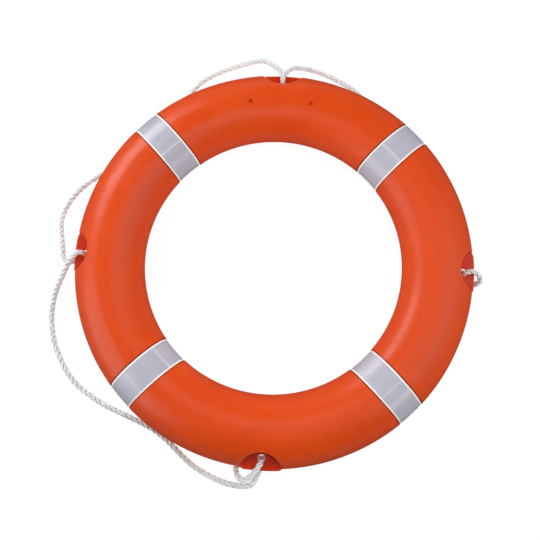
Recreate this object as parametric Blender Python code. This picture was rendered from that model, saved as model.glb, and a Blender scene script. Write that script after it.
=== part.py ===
"""Life ring: a hollow moulded shell round a foam core, with four taped bands and a rope grab line.

The ring lies flat. Its axis is Z, its underside rests on Z = 0 and the origin is at the centre of
that rest plane. Azimuths are measured from +X, anticlockwise seen from above. The four rope pockets
are at 0, 90, 180 and 270 degrees and the four tapes are halfway between them.
"""
import math

import bmesh
import bpy
from mathutils import Matrix, Vector

# Ring, in metres
OUTER_DIAMETER = 0.720
INNER_DIAMETER = 0.468
THICKNESS = 0.105
LAND_WIDTH = 0.016        # flat annulus along the crown and along the underside
SHELL_WALL = 0.0025
FIT_GAP = 0.0003          # clearance between pieces that touch

# Rope pockets: half-moons let into the outer edge from both faces, with a web left between them
POCKET_RADIUS = 0.0385
POCKET_BEYOND_EDGE = 0.0065   # from the ring's outer edge out to the pocket's own axis
POCKET_RIM_ROUND = 0.004
POCKET_DRAFT = 0.0012
POCKET_FLOOR_ROUND = 0.0025
POCKET_COUNT = 4
WEB_THICKNESS = 0.006
WEB_EDGE_CHAMFER = 0.0016
WEB_PROUD = 0.003         # how far the web's edge stands out past the ring's outer edge
PATCH_MARGIN = 0.0302     # from a pocket's wall to the edge of the patch of shell round it

# Rope hole through each web
HOLE_FROM_EDGE = 0.017    # from the ring's outer edge in to the hole's centre
HOLE_DIAMETER = 0.014
HOLE_LIP_ROUND = 0.0026

# Retroreflective tapes, set in shallow bands that run right round the tube
TAPE_WIDTH = 0.050
TAPE_THICKNESS = 0.0006
TAPE_SET_BACK = 0.0008    # from the shell's surface down to the tape's face
TAPE_BAND_STEP = 0.0004
TAPE_SEAM = 0.0010

# Vents left by the foam filling, closed by flush plugs
VENT_DIAMETER = 0.0052
VENT_OFFSET = 0.004       # from the middle of the land towards the ring's axis
VENT_SPREAD = 10.8        # degrees to each side of the pocket at 90 degrees
PLUG_RECESS = 0.0005

# Grab line
ROPE_DIAMETER = 0.010
ROPE_CLEARANCE = 0.0025
SLEEVE_LENGTH = 0.060
SLEEVE_WALL = 0.0018
SLEEVE_LEAD = 0.006       # straight run of rope beyond each end of the sleeve
SLEEVE_AZIMUTH = 316.0
SLEEVE_FROM_EDGE = 0.007

# Facets
SECTION_STEPS = 6         # along each quarter of the tube's section
PLAIN_STEPS = 5           # between a pocket's patch and the tape beside it
CORE_ROWS = 14
CORE_PLAIN_STEPS = 3      # as PLAIN_STEPS, on the surfaces inside the shell
SPAN_POINTS = 16          # points of the rope's curve from one route point to the next
ROPE_CHORD_ERROR = 0.0018
ROPE_LONGEST_STEP = 0.055
ROPE_WIDEST_TURN = math.radians(40.0)

OUTER_RADIUS = OUTER_DIAMETER / 2
MID_RADIUS = (OUTER_DIAMETER + INNER_DIAMETER) / 4
HALF_WIDTH = (OUTER_DIAMETER - INNER_DIAMETER) / 4
HALF_HEIGHT = THICKNESS / 2
HALF_LAND = LAND_WIDTH / 2
HALF_WEB = WEB_THICKNESS / 2
# The section is an ellipse, a little taller than the tube and cut off at the lands
ELLIPSE_HEIGHT = HALF_HEIGHT / math.sqrt(1 - (HALF_LAND / HALF_WIDTH) ** 2)
WEB_ANGLE = math.asin(HALF_WEB / ELLIPSE_HEIGHT)
LAND_ANGLE = math.acos(HALF_LAND / HALF_WIDTH)
BAND_RADIUS = MID_RADIUS + HALF_WIDTH * math.cos(WEB_ANGLE)
POCKET_CENTRE = OUTER_RADIUS + POCKET_BEYOND_EDGE
PATCH_ANGLE = math.degrees(math.asin((POCKET_RADIUS + PATCH_MARGIN) / OUTER_RADIUS))
HOLE_CENTRE = OUTER_RADIUS - HOLE_FROM_EDGE
TAPE_BAND_DEPTH = TAPE_SET_BACK + TAPE_THICKNESS + FIT_GAP
VENT_RADIUS = MID_RADIUS - VENT_OFFSET
SLEEVE_RADIUS = OUTER_RADIUS - SLEEVE_FROM_EDGE


def clear_scene():
    for item in list(bpy.data.objects):
        bpy.data.objects.remove(item, do_unlink=True)


def material(name, colour, roughness, metallic=0.0):
    item = bpy.data.materials.new(name)
    item.use_nodes = True
    shader = item.node_tree.nodes["Principled BSDF"]
    shader.inputs["Base Color"].default_value = (*colour, 1.0)
    shader.inputs["Roughness"].default_value = roughness
    shader.inputs["Metallic"].default_value = metallic
    item.diffuse_color = (*colour, 1.0)
    return item


def add_object(name, data, mat=None):
    item = bpy.data.objects.new(name, data)
    bpy.context.scene.collection.objects.link(item)
    if mat is not None:
        data.materials.append(mat)
    return item


def mesh_from(bm, name, sharp_angle=38.0):
    mesh = bpy.data.meshes.new(name)
    bm.to_mesh(mesh)
    bm.free()
    mesh.shade_smooth()
    mesh.set_sharp_from_angle(angle=math.radians(sharp_angle))
    return mesh


def outward(bm):
    bmesh.ops.recalc_face_normals(bm, faces=bm.faces[:])


def lerp(a, b, share):
    return a + (b - a) * share


def at(radius, azimuth, height):
    """A point from its radius, its azimuth in degrees and its height above the ring's mid-plane."""
    turn = math.radians(azimuth)
    return Vector((radius * math.cos(turn), radius * math.sin(turn), HALF_HEIGHT + height))


def section(angle, inset=0.0):
    """Radius and height of the tube's section at a section angle, moved in along its normal.

    Angle 0 is the outer edge, pi/2 the crown, pi the inner edge and -pi/2 the underside.
    """
    across = math.cos(angle)
    up = math.sin(angle)
    normal = Vector((across / HALF_WIDTH, up / ELLIPSE_HEIGHT)).normalized()
    radius = MID_RADIUS + HALF_WIDTH * across - inset * normal.x
    height = ELLIPSE_HEIGHT * up - inset * normal.y
    top = HALF_HEIGHT - inset
    return radius, max(-top, min(top, height))


def surface_height(radius):
    """Height of the tube's upper surface above the mid-plane at a radius."""
    share = min(1.0, abs(radius - MID_RADIUS) / HALF_WIDTH)
    return min(HALF_HEIGHT, ELLIPSE_HEIGHT * math.sqrt(1 - share * share))


def section_angle(radius):
    return math.acos(max(-1.0, min(1.0, (radius - MID_RADIUS) / HALF_WIDTH)))


def section_rows():
    """Section angles of the shell's rows, once round the tube from the outer edge over the crown."""
    outer = [lerp(WEB_ANGLE, LAND_ANGLE, i / SECTION_STEPS) for i in range(SECTION_STEPS + 1)]
    inner = [lerp(math.pi - LAND_ANGLE, math.pi, i / SECTION_STEPS) for i in range(SECTION_STEPS + 1)]
    upper = outer + inner
    lower = [-angle for angle in reversed(upper[:-1])]
    return [0.0] + upper + lower


def columns(plain_steps, inset=0.0):
    """Columns of a skin for one quarter turn, each an azimuth as a function of radius, and an inset.

    A skin that lies inside the shell is set in everywhere, and its bands are wider by as much.
    """
    half = PATCH_ANGLE
    step = half / 4
    band = TAPE_WIDTH / 2 + FIT_GAP + inset
    lip = band + TAPE_BAND_STEP

    def radial(azimuth):
        return lambda radius: azimuth

    def beside_tape(offset):
        return lambda radius: 45.0 + math.degrees(math.asin(offset / radius))

    def between(first, second, share):
        return lambda radius: lerp(first(radius), second(radius), share)

    found = [(radial(step * i), inset) for i in range(5)]
    near = beside_tape(-lip)
    far = beside_tape(lip)
    for i in range(1, plain_steps):
        found.append((between(radial(half), near, i / plain_steps), inset))
    found.append((near, inset))
    for offset in (-band, 0.0, band):
        found.append((beside_tape(offset), inset + TAPE_BAND_DEPTH))
    found.append((far, inset))
    for i in range(1, plain_steps):
        found.append((between(far, radial(90.0 - half), i / plain_steps), inset))
    found += [(radial(90.0 - half + step * i), inset) for i in range(4)]
    return found


def pocket_rim():
    """Points of one pocket's rim, tip to tip, evenly spaced along it on the tube's surface.

    Each is the direction from the pocket's axis, as an angle from the line to the ring's centre.
    The rim ends where the pocket's wall meets the web's own height on the outer edge.
    """
    tip = math.acos((POCKET_RADIUS ** 2 + POCKET_CENTRE ** 2 - BAND_RADIUS ** 2)
                    / (2 * POCKET_RADIUS * POCKET_CENTRE))
    samples = []
    for i in range(401):
        turn = tip * i / 400
        x = POCKET_RADIUS * math.sin(turn)
        y = POCKET_CENTRE - POCKET_RADIUS * math.cos(turn)
        samples.append((turn, Vector((x, y, surface_height(math.hypot(x, y))))))
    lengths = [0.0]
    for first, second in zip(samples, samples[1:]):
        lengths.append(lengths[-1] + (second[1] - first[1]).length)
    count = SECTION_STEPS + 4
    half = []
    for i in range(count + 1):
        want = lengths[-1] * i / count
        k = max(j for j, value in enumerate(lengths) if value <= want + 1e-12)
        half.append(samples[k][0])
    half[-1] = tip
    return [turn for turn in reversed(half)] + [-turn for turn in half[1:]]


def pocket_point(turn, distance):
    """Radius and azimuth, from the pocket's own, of a point seen from the pocket's axis."""
    x = distance * math.sin(turn)
    y = POCKET_CENTRE - distance * math.cos(turn)
    return math.hypot(x, y), math.degrees(math.atan2(x, y))


def pocket_profile(turn):
    """Wall of the pocket in one direction from its axis, from the shell's surface to the web.

    Distances from the pocket's axis and heights above the mid-plane: the rounded rim, then the
    drafted wall, then the rounded foot on the web.
    """
    wall = POCKET_RADIUS
    rim_radius, _ = pocket_point(turn, wall)
    further, _ = pocket_point(turn, wall + POCKET_RIM_ROUND)
    rim_height = surface_height(rim_radius)
    rise = surface_height(further) - rim_height
    slope = math.atan2(rise, POCKET_RIM_ROUND)
    depth = rim_height - HALF_WEB
    size = min(POCKET_RIM_ROUND, depth * 0.35)
    foot = min(POCKET_FLOOR_ROUND, depth * 0.30)
    draft = POCKET_DRAFT * min(1.0, depth / HALF_HEIGHT * 2)
    centre_x = wall + size
    centre_z = rim_height + size * math.tan(slope) - size / math.cos(slope)
    start = math.pi / 2 + slope
    points = []
    for share in (0.0, 0.5, 1.0):
        angle = lerp(start, math.pi, share)
        points.append([centre_x + size * math.cos(angle), centre_z + size * math.sin(angle)])
    edge_radius, _ = pocket_point(turn, points[0][0])
    points[0][1] = surface_height(edge_radius)
    points.append([wall - draft, HALF_WEB + foot])
    points.append([wall - draft - foot, HALF_WEB])
    return points


def build_shell_skin():
    """Outer surface of the shell, as one closed mesh with its pockets and tape bands."""
    bm = bmesh.new()
    rows = section_rows()
    row_count = len(rows)
    quarter = columns(PLAIN_STEPS)
    per_quarter = len(quarter)
    column_count = per_quarter * POCKET_COUNT
    land_row = SECTION_STEPS + 1
    grid = {}
    azimuths = {}
    for c in range(column_count):
        azimuth_at, inset = quarter[c % per_quarter]
        turn = 90.0 * (c // per_quarter)
        pocket_side = min(c % per_quarter, per_quarter - c % per_quarter)
        for r, angle in enumerate(rows):
            radius, height = section(angle, inset)
            azimuths[c, r] = turn + azimuth_at(radius)
            from_edge = min(r, row_count - r)
            inside = pocket_side < 4 and from_edge < land_row
            if not inside:
                grid[c, r] = bm.verts.new(at(radius, azimuths[c, r], height))
    for c in range(column_count):
        after = (c + 1) % column_count
        for r in range(row_count):
            above = (r + 1) % row_count
            corners = [(c, r), (after, r), (after, above), (c, above)]
            if all(corner in grid for corner in corners):
                bm.faces.new([grid[corner] for corner in corners])

    turns = pocket_rim()
    last = len(turns) - 1
    for pocket in range(POCKET_COUNT):
        centre = per_quarter * pocket
        turn_to = 90.0 * pocket
        plus = centre + 4
        minus = (centre - 4) % column_count
        edge_azimuths = edge_positions(turns)
        edge = []
        for azimuth, share in edge_azimuths:
            edge.append(bm.verts.new(at(OUTER_RADIUS + WEB_PROUD * share, turn_to + azimuth, 0.0)))
        edge = [grid[plus, 0]] + edge + [grid[minus, 0]]
        for side in (1, -1):
            def row(r):
                return r if side > 0 else (row_count - r) % row_count

            boundary = [(plus, r) for r in range(1, land_row + 1)]
            boundary += [((centre + s) % column_count, land_row) for s in range(3, -4, -1)]
            boundary += [(minus, r) for r in range(land_row, 0, -1)]
            outer = [grid[c, row(r)] for c, r in boundary]
            layers = [outer, [], [], [], [], [], []]
            for k, turn in enumerate(turns):
                c, r = boundary[k]
                far_azimuth = relative(azimuths[c, row(r)], turn_to)
                at_tip = k in (0, last)
                if at_tip:
                    radius, azimuth = pocket_point(turn, POCKET_RADIUS)
                    tip = bm.verts.new(at(BAND_RADIUS, turn_to + azimuth, side * HALF_WEB))
                    middle = at(BAND_RADIUS, turn_to + (azimuth + far_azimuth) / 2, side * HALF_WEB)
                    layers[1].append(bm.verts.new(middle))
                    for layer in layers[2:]:
                        layer.append(tip)
                    continue
                profile = pocket_profile(turn)
                radius, azimuth = pocket_point(turn, profile[0][0])
                angle = (section_angle(radius) + rows[r]) / 2
                radius, height = section(angle)
                middle = at(radius, turn_to + (azimuth + far_azimuth) / 2, side * height)
                layers[1].append(bm.verts.new(middle))
                for layer, (distance, height) in zip(layers[2:], profile):
                    radius, azimuth = pocket_point(turn, distance)
                    layer.append(bm.verts.new(at(radius, turn_to + azimuth, side * height)))
            for inner, beyond in zip(layers[1:], layers):
                for k in range(last):
                    corners = [beyond[k], beyond[k + 1], inner[k + 1], inner[k]]
                    face = [v for i, v in enumerate(corners) if v not in corners[:i]]
                    if len(face) > 2:
                        bm.faces.new(face)

            # The outer edge of the patch: plain shell, pocket tip, web edge, tip, plain shell
            lip = []
            for azimuth, share in edge_azimuths[2:-2]:
                radius = BAND_RADIUS + (WEB_PROUD - WEB_EDGE_CHAMFER) * share
                lip.append(bm.verts.new(at(radius, turn_to + azimuth, side * HALF_WEB)))
            foot = layers[-1]
            rim = [outer[0], layers[1][0], foot[0]] + lip + [foot[-1], layers[1][-1], outer[-1]]
            for k in range(len(rim) - 1):
                bm.faces.new([edge[k], edge[k + 1], rim[k + 1], rim[k]])
            bm.faces.new(foot + list(reversed(lip)))
    outward(bm)
    return bm


def relative(azimuth, centre):
    return (azimuth - centre + 180.0) % 360.0 - 180.0


def edge_positions(turns):
    """Azimuths along a pocket's outer edge and how fully the web stands out and is chamfered at each."""
    _, tip = pocket_point(turns[0], POCKET_RADIUS)
    middle = (tip + PATCH_ANGLE) / 2
    shares = (0.90, 0.72, 0.48, 0.24, 0.0, -0.24, -0.48, -0.72, -0.90)
    inner = [(tip * share, min(1.0, (1 - abs(share)) / 0.28)) for share in shares]
    return [(middle, 0.0), (tip, 0.0)] + inner + [(-tip, 0.0), (-middle, 0.0)]


def build_core_skin(inset):
    """Closed surface inside the shell, set in from its outside and kept clear of the pockets."""
    bm = bmesh.new()
    pocket_gap = POCKET_RADIUS + inset
    angles = [2 * math.pi * i / CORE_ROWS for i in range(CORE_ROWS)]
    rings = []
    for quarter in range(POCKET_COUNT):
        for azimuth_at, depth in columns(CORE_PLAIN_STEPS, inset):
            from_pocket = azimuth_at(MID_RADIUS)
            offset = POCKET_CENTRE * math.sin(math.radians(min(from_pocket, 90.0 - from_pocket)))
            limit = OUTER_RADIUS
            if offset < pocket_gap:
                along = math.sqrt(POCKET_CENTRE ** 2 - offset ** 2)
                limit = along - math.sqrt(pocket_gap ** 2 - offset ** 2)
            ring = []
            for angle in angles:
                radius, height = section(angle, depth)
                radius = min(radius, limit)
                ring.append(bm.verts.new(at(radius, 90.0 * quarter + azimuth_at(radius), height)))
            rings.append(ring)
    for ring, after in zip(rings, rings[1:] + rings[:1]):
        for i in range(CORE_ROWS):
            j = (i + 1) % CORE_ROWS
            bm.faces.new([ring[i], after[i], after[j], ring[j]])
    outward(bm)
    return bm


def turned(profile, steps):
    """Closed solid turned about Z from a profile of radii and heights, bottom to top."""
    bm = bmesh.new()
    rings = []
    for radius, height in profile:
        ring = []
        for i in range(steps):
            turn = 2 * math.pi * i / steps
            ring.append(bm.verts.new((radius * math.cos(turn), radius * math.sin(turn), height)))
        rings.append(ring)
    for low, high in zip(rings, rings[1:]):
        for i in range(steps):
            j = (i + 1) % steps
            bm.faces.new([low[i], low[j], high[j], high[i]])
    bm.faces.new(list(reversed(rings[0])))
    bm.faces.new(rings[-1])
    outward(bm)
    return bm


def hide_cutter(item):
    item.hide_render = True
    item.display_type = "WIRE"


def rope_hole_cutters():
    """Cutters for the rope holes, flared where the hole's lips are rounded."""
    radius = HOLE_DIAMETER / 2
    profile = []
    for share in (-1.0, -0.62, -0.28, 0.28, 0.62, 1.0):
        lift = abs(share) * math.pi / 2.4
        flare = HOLE_LIP_ROUND * (1 - math.cos(lift))
        base = HALF_WEB - HOLE_LIP_ROUND
        height = base + HOLE_LIP_ROUND * math.sin(lift)
        profile.append((radius + flare, math.copysign(height, share)))
    end_radius = profile[-1][0] + HOLE_LIP_ROUND
    end_height = HALF_WEB + HOLE_LIP_ROUND * 0.3
    profile = [(end_radius, -end_height)] + profile + [(end_radius, end_height)]
    cutters = []
    for pocket in range(POCKET_COUNT):
        mesh = mesh_from(turned(profile, 16), "rope_hole_cutter")
        item = add_object("rope_hole_cutter_%d" % pocket, mesh)
        item.location = at(HOLE_CENTRE, 90.0 * pocket, 0.0)
        item.rotation_euler = (0.0, 0.0, math.radians(90.0 * pocket + 11.25))
        hide_cutter(item)
        cutters.append(item)
    return cutters


def vent_places():
    return [90.0 + VENT_SPREAD, 90.0 - VENT_SPREAD]


def vent_cutters():
    cutters = []
    for i, azimuth in enumerate(vent_places()):
        depth = SHELL_WALL * 3
        profile = [(VENT_DIAMETER / 2, -depth), (VENT_DIAMETER / 2, depth)]
        item = add_object("vent_cutter_%d" % i, mesh_from(turned(profile, 12), "vent_cutter"))
        item.location = at(VENT_RADIUS, azimuth, HALF_HEIGHT)
        hide_cutter(item)
        cutters.append(item)
    return cutters


def add_shell(mat):
    skin = build_shell_skin()
    cavity = build_core_skin(SHELL_WALL)
    bmesh.ops.reverse_faces(cavity, faces=cavity.faces[:])
    hollow = bpy.data.meshes.new("shell_hollow")
    cavity.to_mesh(hollow)
    cavity.free()
    skin.from_mesh(hollow)
    bpy.data.meshes.remove(hollow)
    item = add_object("shell", mesh_from(skin, "shell"), mat)
    for cutter in rope_hole_cutters() + vent_cutters():
        cut = item.modifiers.new(cutter.name, "BOOLEAN")
        cut.operation = "DIFFERENCE"
        cut.solver = "EXACT"
        cut.object = cutter
    return item


def add_foam_core(mat):
    return add_object("foam_core", mesh_from(build_core_skin(SHELL_WALL + FIT_GAP), "foam_core"), mat)


def add_vent_plugs(mat):
    for i, azimuth in enumerate(vent_places()):
        radius = VENT_DIAMETER / 2 - FIT_GAP
        top = -PLUG_RECESS
        profile = [(radius * 0.8, -SHELL_WALL), (radius, -SHELL_WALL * 0.8), (radius, top - radius * 0.15),
                   (radius * 0.85, top)]
        item = add_object("vent_plug_%d" % (i + 1), mesh_from(turned(profile, 12), "vent_plug"), mat)
        item.location = at(VENT_RADIUS, azimuth, HALF_HEIGHT)


def tape_rows():
    """Stations of a tape round the tube, from its seam on the underside and back to it."""
    rows = section_rows()
    lower_outer = [angle for angle in rows if -math.pi / 2 < angle < 0]
    start = [(angle, None) for angle in sorted(lower_outer)]
    upper = [(angle, None) for angle in rows if angle >= 0]
    lower_inner = [(angle, None) for angle in rows if angle < -math.pi / 2]
    ends = [(None, TAPE_SEAM / 2)], [(None, -TAPE_SEAM / 2)]
    return ends[0] + start + upper + lower_inner + ends[1]


def tape_section(station, inset):
    angle, along_land = station
    if angle is None:
        return MID_RADIUS + along_land, -(HALF_HEIGHT - inset)
    return section(angle, inset)


def add_tape(number, mat):
    centre = 45.0 + 90.0 * number
    edge = TAPE_WIDTH / 2
    outer = TAPE_SET_BACK
    inner = TAPE_SET_BACK + TAPE_THICKNESS
    bm = bmesh.new()
    stations = tape_rows()
    sheets = []
    for inset in (outer, inner):
        sheet = []
        for station in stations:
            radius, height = tape_section(station, inset)
            line = []
            for offset in (-edge, 0.0, edge):
                azimuth = centre + math.degrees(math.asin(offset / radius))
                line.append(bm.verts.new(at(radius, azimuth, height)))
            sheet.append(line)
        sheets.append(sheet)
    top, under = sheets
    for i in range(len(stations) - 1):
        for sheet in sheets:
            for j in range(2):
                bm.faces.new([sheet[i][j], sheet[i][j + 1], sheet[i + 1][j + 1], sheet[i + 1][j]])
        for j in (0, 2):
            bm.faces.new([top[i][j], top[i + 1][j], under[i + 1][j], under[i][j]])
    for end in (0, -1):
        for j in range(2):
            bm.faces.new([top[end][j], top[end][j + 1], under[end][j + 1], under[end][j]])
    outward(bm)
    names = ("tape_a", "tape_b", "tape_c", "tape_d")
    add_object(names[number], mesh_from(bm, names[number]), mat)


def hitch(azimuth, points):
    """Route points beside one web, given out from its hole, along the ring and up from the web."""
    placed = []
    for out, along, up in points:
        frame = Matrix.Rotation(math.radians(azimuth), 4, "Z")
        placed.append(frame @ Vector((HOLE_CENTRE + out, along, HALF_HEIGHT + up)))
    return placed


def hole_pass():
    """The rope's bend round the web's bridge, from the front face down the hole and out behind.

    Local places: out from the hole's centre, and up from the web's middle.
    """
    bend = HALF_WEB + ROPE_DIAMETER / 2 + ROPE_CLEARANCE
    lean = (HOLE_DIAMETER - ROPE_DIAMETER) / 2 - FIT_GAP * 2
    centre = lean + bend
    arc = []
    for i in range(5):
        turn = math.pi / 2 + math.pi * i / 4
        arc.append((centre + bend * math.cos(turn), bend * math.sin(turn)))
    return arc


def loop_points(points):
    """Route points of a loop, given as azimuth, distance beyond the ring and height above the rest."""
    placed = []
    for azimuth, beyond, height in points:
        level = max(height, ROPE_DIAMETER / 2)
        placed.append(at(OUTER_RADIUS + beyond, azimuth, level - HALF_HEIGHT))
    return placed


def swayed(arc, amount):
    """Local route points of the bend, swung along the ring as they leave the hole."""
    hole = (HOLE_DIAMETER - ROPE_DIAMETER) / 2 - FIT_GAP * 2
    return [(out, amount * (out - hole) ** 2, up) for out, up in arc]


def sleeve_frame():
    """Middle of the joint sleeve and the way along it, clockwise round the ring."""
    middle = at(SLEEVE_RADIUS, SLEEVE_AZIMUTH, ROPE_DIAMETER / 2 + FIT_GAP + SLEEVE_WALL - HALF_HEIGHT)
    turn = math.radians(SLEEVE_AZIMUTH - 90.0)
    return middle, Vector((math.cos(turn), math.sin(turn), 0.0))


def sleeve_points(side):
    """Straight run of the line from its cut end in the sleeve to just beyond the sleeve."""
    middle, along = sleeve_frame()
    half = SLEEVE_LENGTH / 2
    return [middle + along * (side * d) for d in (FIT_GAP, half, half + SLEEVE_LEAD)]


def grab_line_route():
    """Route of the grab line's centre, clockwise round the ring from its joint sleeve."""
    arc = hole_pass()
    down = arc[:3]
    away = arc[3:]
    floor = ROPE_DIAMETER / 2 + FIT_GAP
    route = sleeve_points(1)
    route += loop_points([(291.0, -0.0080, floor)])
    # Lower side: the line comes up behind the web, over its edge and down through the hole
    route += hitch(270.0, [(0.0060, 0.0240, -0.0462), (0.0050, -0.0060, -0.0440),
                           (0.0155, -0.0405, -0.0270), (0.0245, -0.0435, -0.0120),
                           (0.0365, -0.0330, 0.0025), (0.0310, -0.0190, 0.0085)])
    route += hitch(270.0, swayed(down, -34.0) + swayed(away, 0.0))
    route += hitch(270.0, [(0.0290, -0.0065, -0.0112), (0.0460, -0.0160, -0.0130)])
    # First loop, the widest
    route += loop_points([(262.0, 0.0360, 0.0270), (252.0, 0.0290, 0.0075), (238.0, 0.0085, floor),
                          (220.5, 0.0463, floor), (212.0, 0.0662, floor), (203.0, 0.0720, floor),
                          (196.0, 0.0660, 0.0090), (190.5, 0.0500, 0.0225)])
    # Left side: over the edge into the hole, then out behind and round below itself
    route += hitch(180.0, [(0.0400, 0.0370, -0.0060), (0.0265, 0.0135, 0.0060)])
    route += hitch(180.0, swayed(down, 0.0) + swayed(away, 34.0))
    route += hitch(180.0, [(0.0250, 0.0120, -0.0115), (0.0365, 0.0150, -0.0130),
                           (0.0465, 0.0060, -0.0150), (0.0510, -0.0110, -0.0185)])
    # Second loop
    route += loop_points([(169.0, 0.0575, 0.0110), (161.0, 0.0475, floor), (150.0, 0.0110, floor),
                          (138.0, 0.0010, floor), (126.0, 0.0060, floor), (113.0, 0.0440, floor),
                          (103.0, 0.0490, 0.0175), (96.0, 0.0445, 0.0370)])
    # Top side
    route += hitch(90.0, [(0.0480, 0.0230, -0.0070), (0.0280, 0.0040, 0.0060)])
    route += hitch(90.0, swayed(arc, 0.0))
    route += hitch(90.0, [(0.0290, -0.0030, -0.0102), (0.0460, -0.0185, -0.0150)])
    # Third loop
    route += loop_points([(80.0, 0.0383, 0.0170), (72.0, 0.0336, floor), (66.0, 0.0220, floor),
                          (40.0, -0.0050, floor), (20.0, -0.0080, floor)])
    # Right side: under the web, round its edge, down through the hole and away behind
    route += hitch(0.0, [(0.0080, 0.0480, -0.0470), (0.0085, 0.0030, -0.0415),
                         (0.0235, -0.0170, -0.0205), (0.0310, -0.0125, -0.0035),
                         (0.0250, -0.0030, 0.0072)])
    route += hitch(0.0, swayed(down, 14.0))
    route += hitch(0.0, [(0.0004, -0.0040, -0.0100), (0.0050, -0.0230, -0.0315),
                         (0.0095, -0.0490, -0.0425)])
    # Fourth loop, hidden under the ring, back to the joint sleeve
    route += loop_points([(336.0, -0.0080, floor)])
    route += list(reversed(sleeve_points(-1)))
    return route


def smooth_line(points, per_span=SPAN_POINTS):
    """A centripetal Catmull-Rom curve through the points, as closely spaced points."""
    ends = [points[0] * 2 - points[1]] + points + [points[-1] * 2 - points[-2]]
    line = [points[0].copy()]
    for p0, p1, p2, p3 in zip(ends, ends[1:], ends[2:], ends[3:]):
        t1 = math.sqrt((p1 - p0).length)
        t2 = t1 + math.sqrt((p2 - p1).length)
        t3 = t2 + math.sqrt((p3 - p2).length)
        for i in range(1, per_span + 1):
            t = lerp(t1, t2, i / per_span)
            a1 = p0 * ((t1 - t) / t1) + p1 * (t / t1)
            a2 = p1 * ((t2 - t) / (t2 - t1)) + p2 * ((t - t1) / (t2 - t1))
            a3 = p2 * ((t3 - t) / (t3 - t2)) + p3 * ((t - t2) / (t3 - t2))
            b1 = a1 * ((t2 - t) / t2) + a2 * (t / t2)
            b2 = a2 * ((t3 - t) / (t3 - t1)) + a3 * ((t - t1) / (t3 - t1))
            line.append(b1 * ((t2 - t) / (t2 - t1)) + b2 * ((t - t1) / (t2 - t1)))
    return line


def rested(line):
    """The line with no point lower than where the rope would lie on the rest plane."""
    floor = ROPE_DIAMETER / 2 + FIT_GAP
    return [Vector((point.x, point.y, max(point.z, floor))) for point in line]


def strays(points, tolerance):
    """Whether any of the points lies further than the tolerance from the chord that joins the ends."""
    along = (points[-1] - points[0]).normalized()
    for point in points[1:-1]:
        offset = point - points[0]
        if (offset - along * offset.dot(along)).length > tolerance:
            return True
    return False


def thinned(line, held):
    """The line's points that a tube needs: short enough steps, gentle bends and the held points."""
    kept = [0]
    walked = 0.0
    turned_by = 0.0
    for i in range(1, len(line) - 1):
        step = line[i] - line[i - 1]
        walked += step.length
        turned_by += step.angle(line[i + 1] - line[i], 0.0)
        full = walked >= ROPE_LONGEST_STEP or turned_by >= ROPE_WIDEST_TURN
        if i in held or full or strays(line[kept[-1]:i + 2], ROPE_CHORD_ERROR):
            kept.append(i)
            walked = 0.0
            turned_by = 0.0
    kept.append(len(line) - 1)
    return [line[i] for i in kept]


def length_of(line):
    return sum((b - a).length for a, b in zip(line, line[1:]))


def least_gap(line, diameter):
    """Least clearance of the tube to itself, between parts that are well apart along it.

    The two ends meet in the sleeve, so they count as neighbours.
    """
    whole = length_of(line)
    spots = []
    walked = 0.0
    for a, b in zip(line, line[1:]):
        walked += (b - a).length
        if not spots or walked - spots[-1][0] >= diameter * 0.25:
            spots.append((walked, b))
    best = None
    for i, (first_at, first) in enumerate(spots):
        for second_at, second in spots[i + 1:]:
            apart = min(second_at - first_at, whole - (second_at - first_at))
            if apart > diameter * 2.6:
                gap = (first - second).length - diameter
                best = gap if best is None else min(best, gap)
    return best


def add_grab_line(mat):
    line = rested(smooth_line(grab_line_route()))
    straight = (len(sleeve_points(1)) - 1) * SPAN_POINTS
    held = (straight, len(line) - 1 - straight)
    points = thinned(line, held)
    curve = bpy.data.curves.new("grab_line", "CURVE")
    curve.dimensions = "3D"
    curve.bevel_depth = ROPE_DIAMETER / 2
    curve.bevel_resolution = 2
    curve.use_fill_caps = True
    curve.twist_mode = "MINIMUM"
    spline = curve.splines.new("POLY")
    spline.points.add(len(points) - 1)
    for spot, place in zip(spline.points, points):
        spot.co = (*place, 1.0)
    item = add_object("grab_line", curve, mat)
    print("grab line: %.3f m in %d points, least gap to itself %.2f mm"
          % (length_of(line), len(points), least_gap(line, ROPE_DIAMETER) * 1000))
    return item


def add_joint_sleeve(mat):
    """Straight shrunk sleeve over the line's two butted ends."""
    bore = ROPE_DIAMETER / 2 + FIT_GAP
    outer = bore + SLEEVE_WALL
    end = SLEEVE_LENGTH / 2
    round_off = SLEEVE_WALL * 0.4
    profile = [(bore, -end), (outer - round_off, -end), (outer, -end + round_off),
               (outer, end - round_off), (outer - round_off, end), (bore, end)]
    middle, along = sleeve_frame()
    steps = 16
    bm = bmesh.new()
    rings = []
    for radius, place in profile:
        ring = []
        for i in range(steps):
            turn = 2 * math.pi * (i + 0.5) / steps
            ring.append(bm.verts.new((radius * math.cos(turn), radius * math.sin(turn), place)))
        rings.append(ring)
    for first, second in zip(rings, rings[1:] + rings[:1]):
        for i in range(steps):
            j = (i + 1) % steps
            bm.faces.new([first[i], first[j], second[j], second[i]])
    outward(bm)
    item = add_object("joint_sleeve", mesh_from(bm, "joint_sleeve"), mat)
    item.matrix_world = Matrix.Translation(middle) @ along.to_track_quat("Z", "Y").to_matrix().to_4x4()


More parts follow.
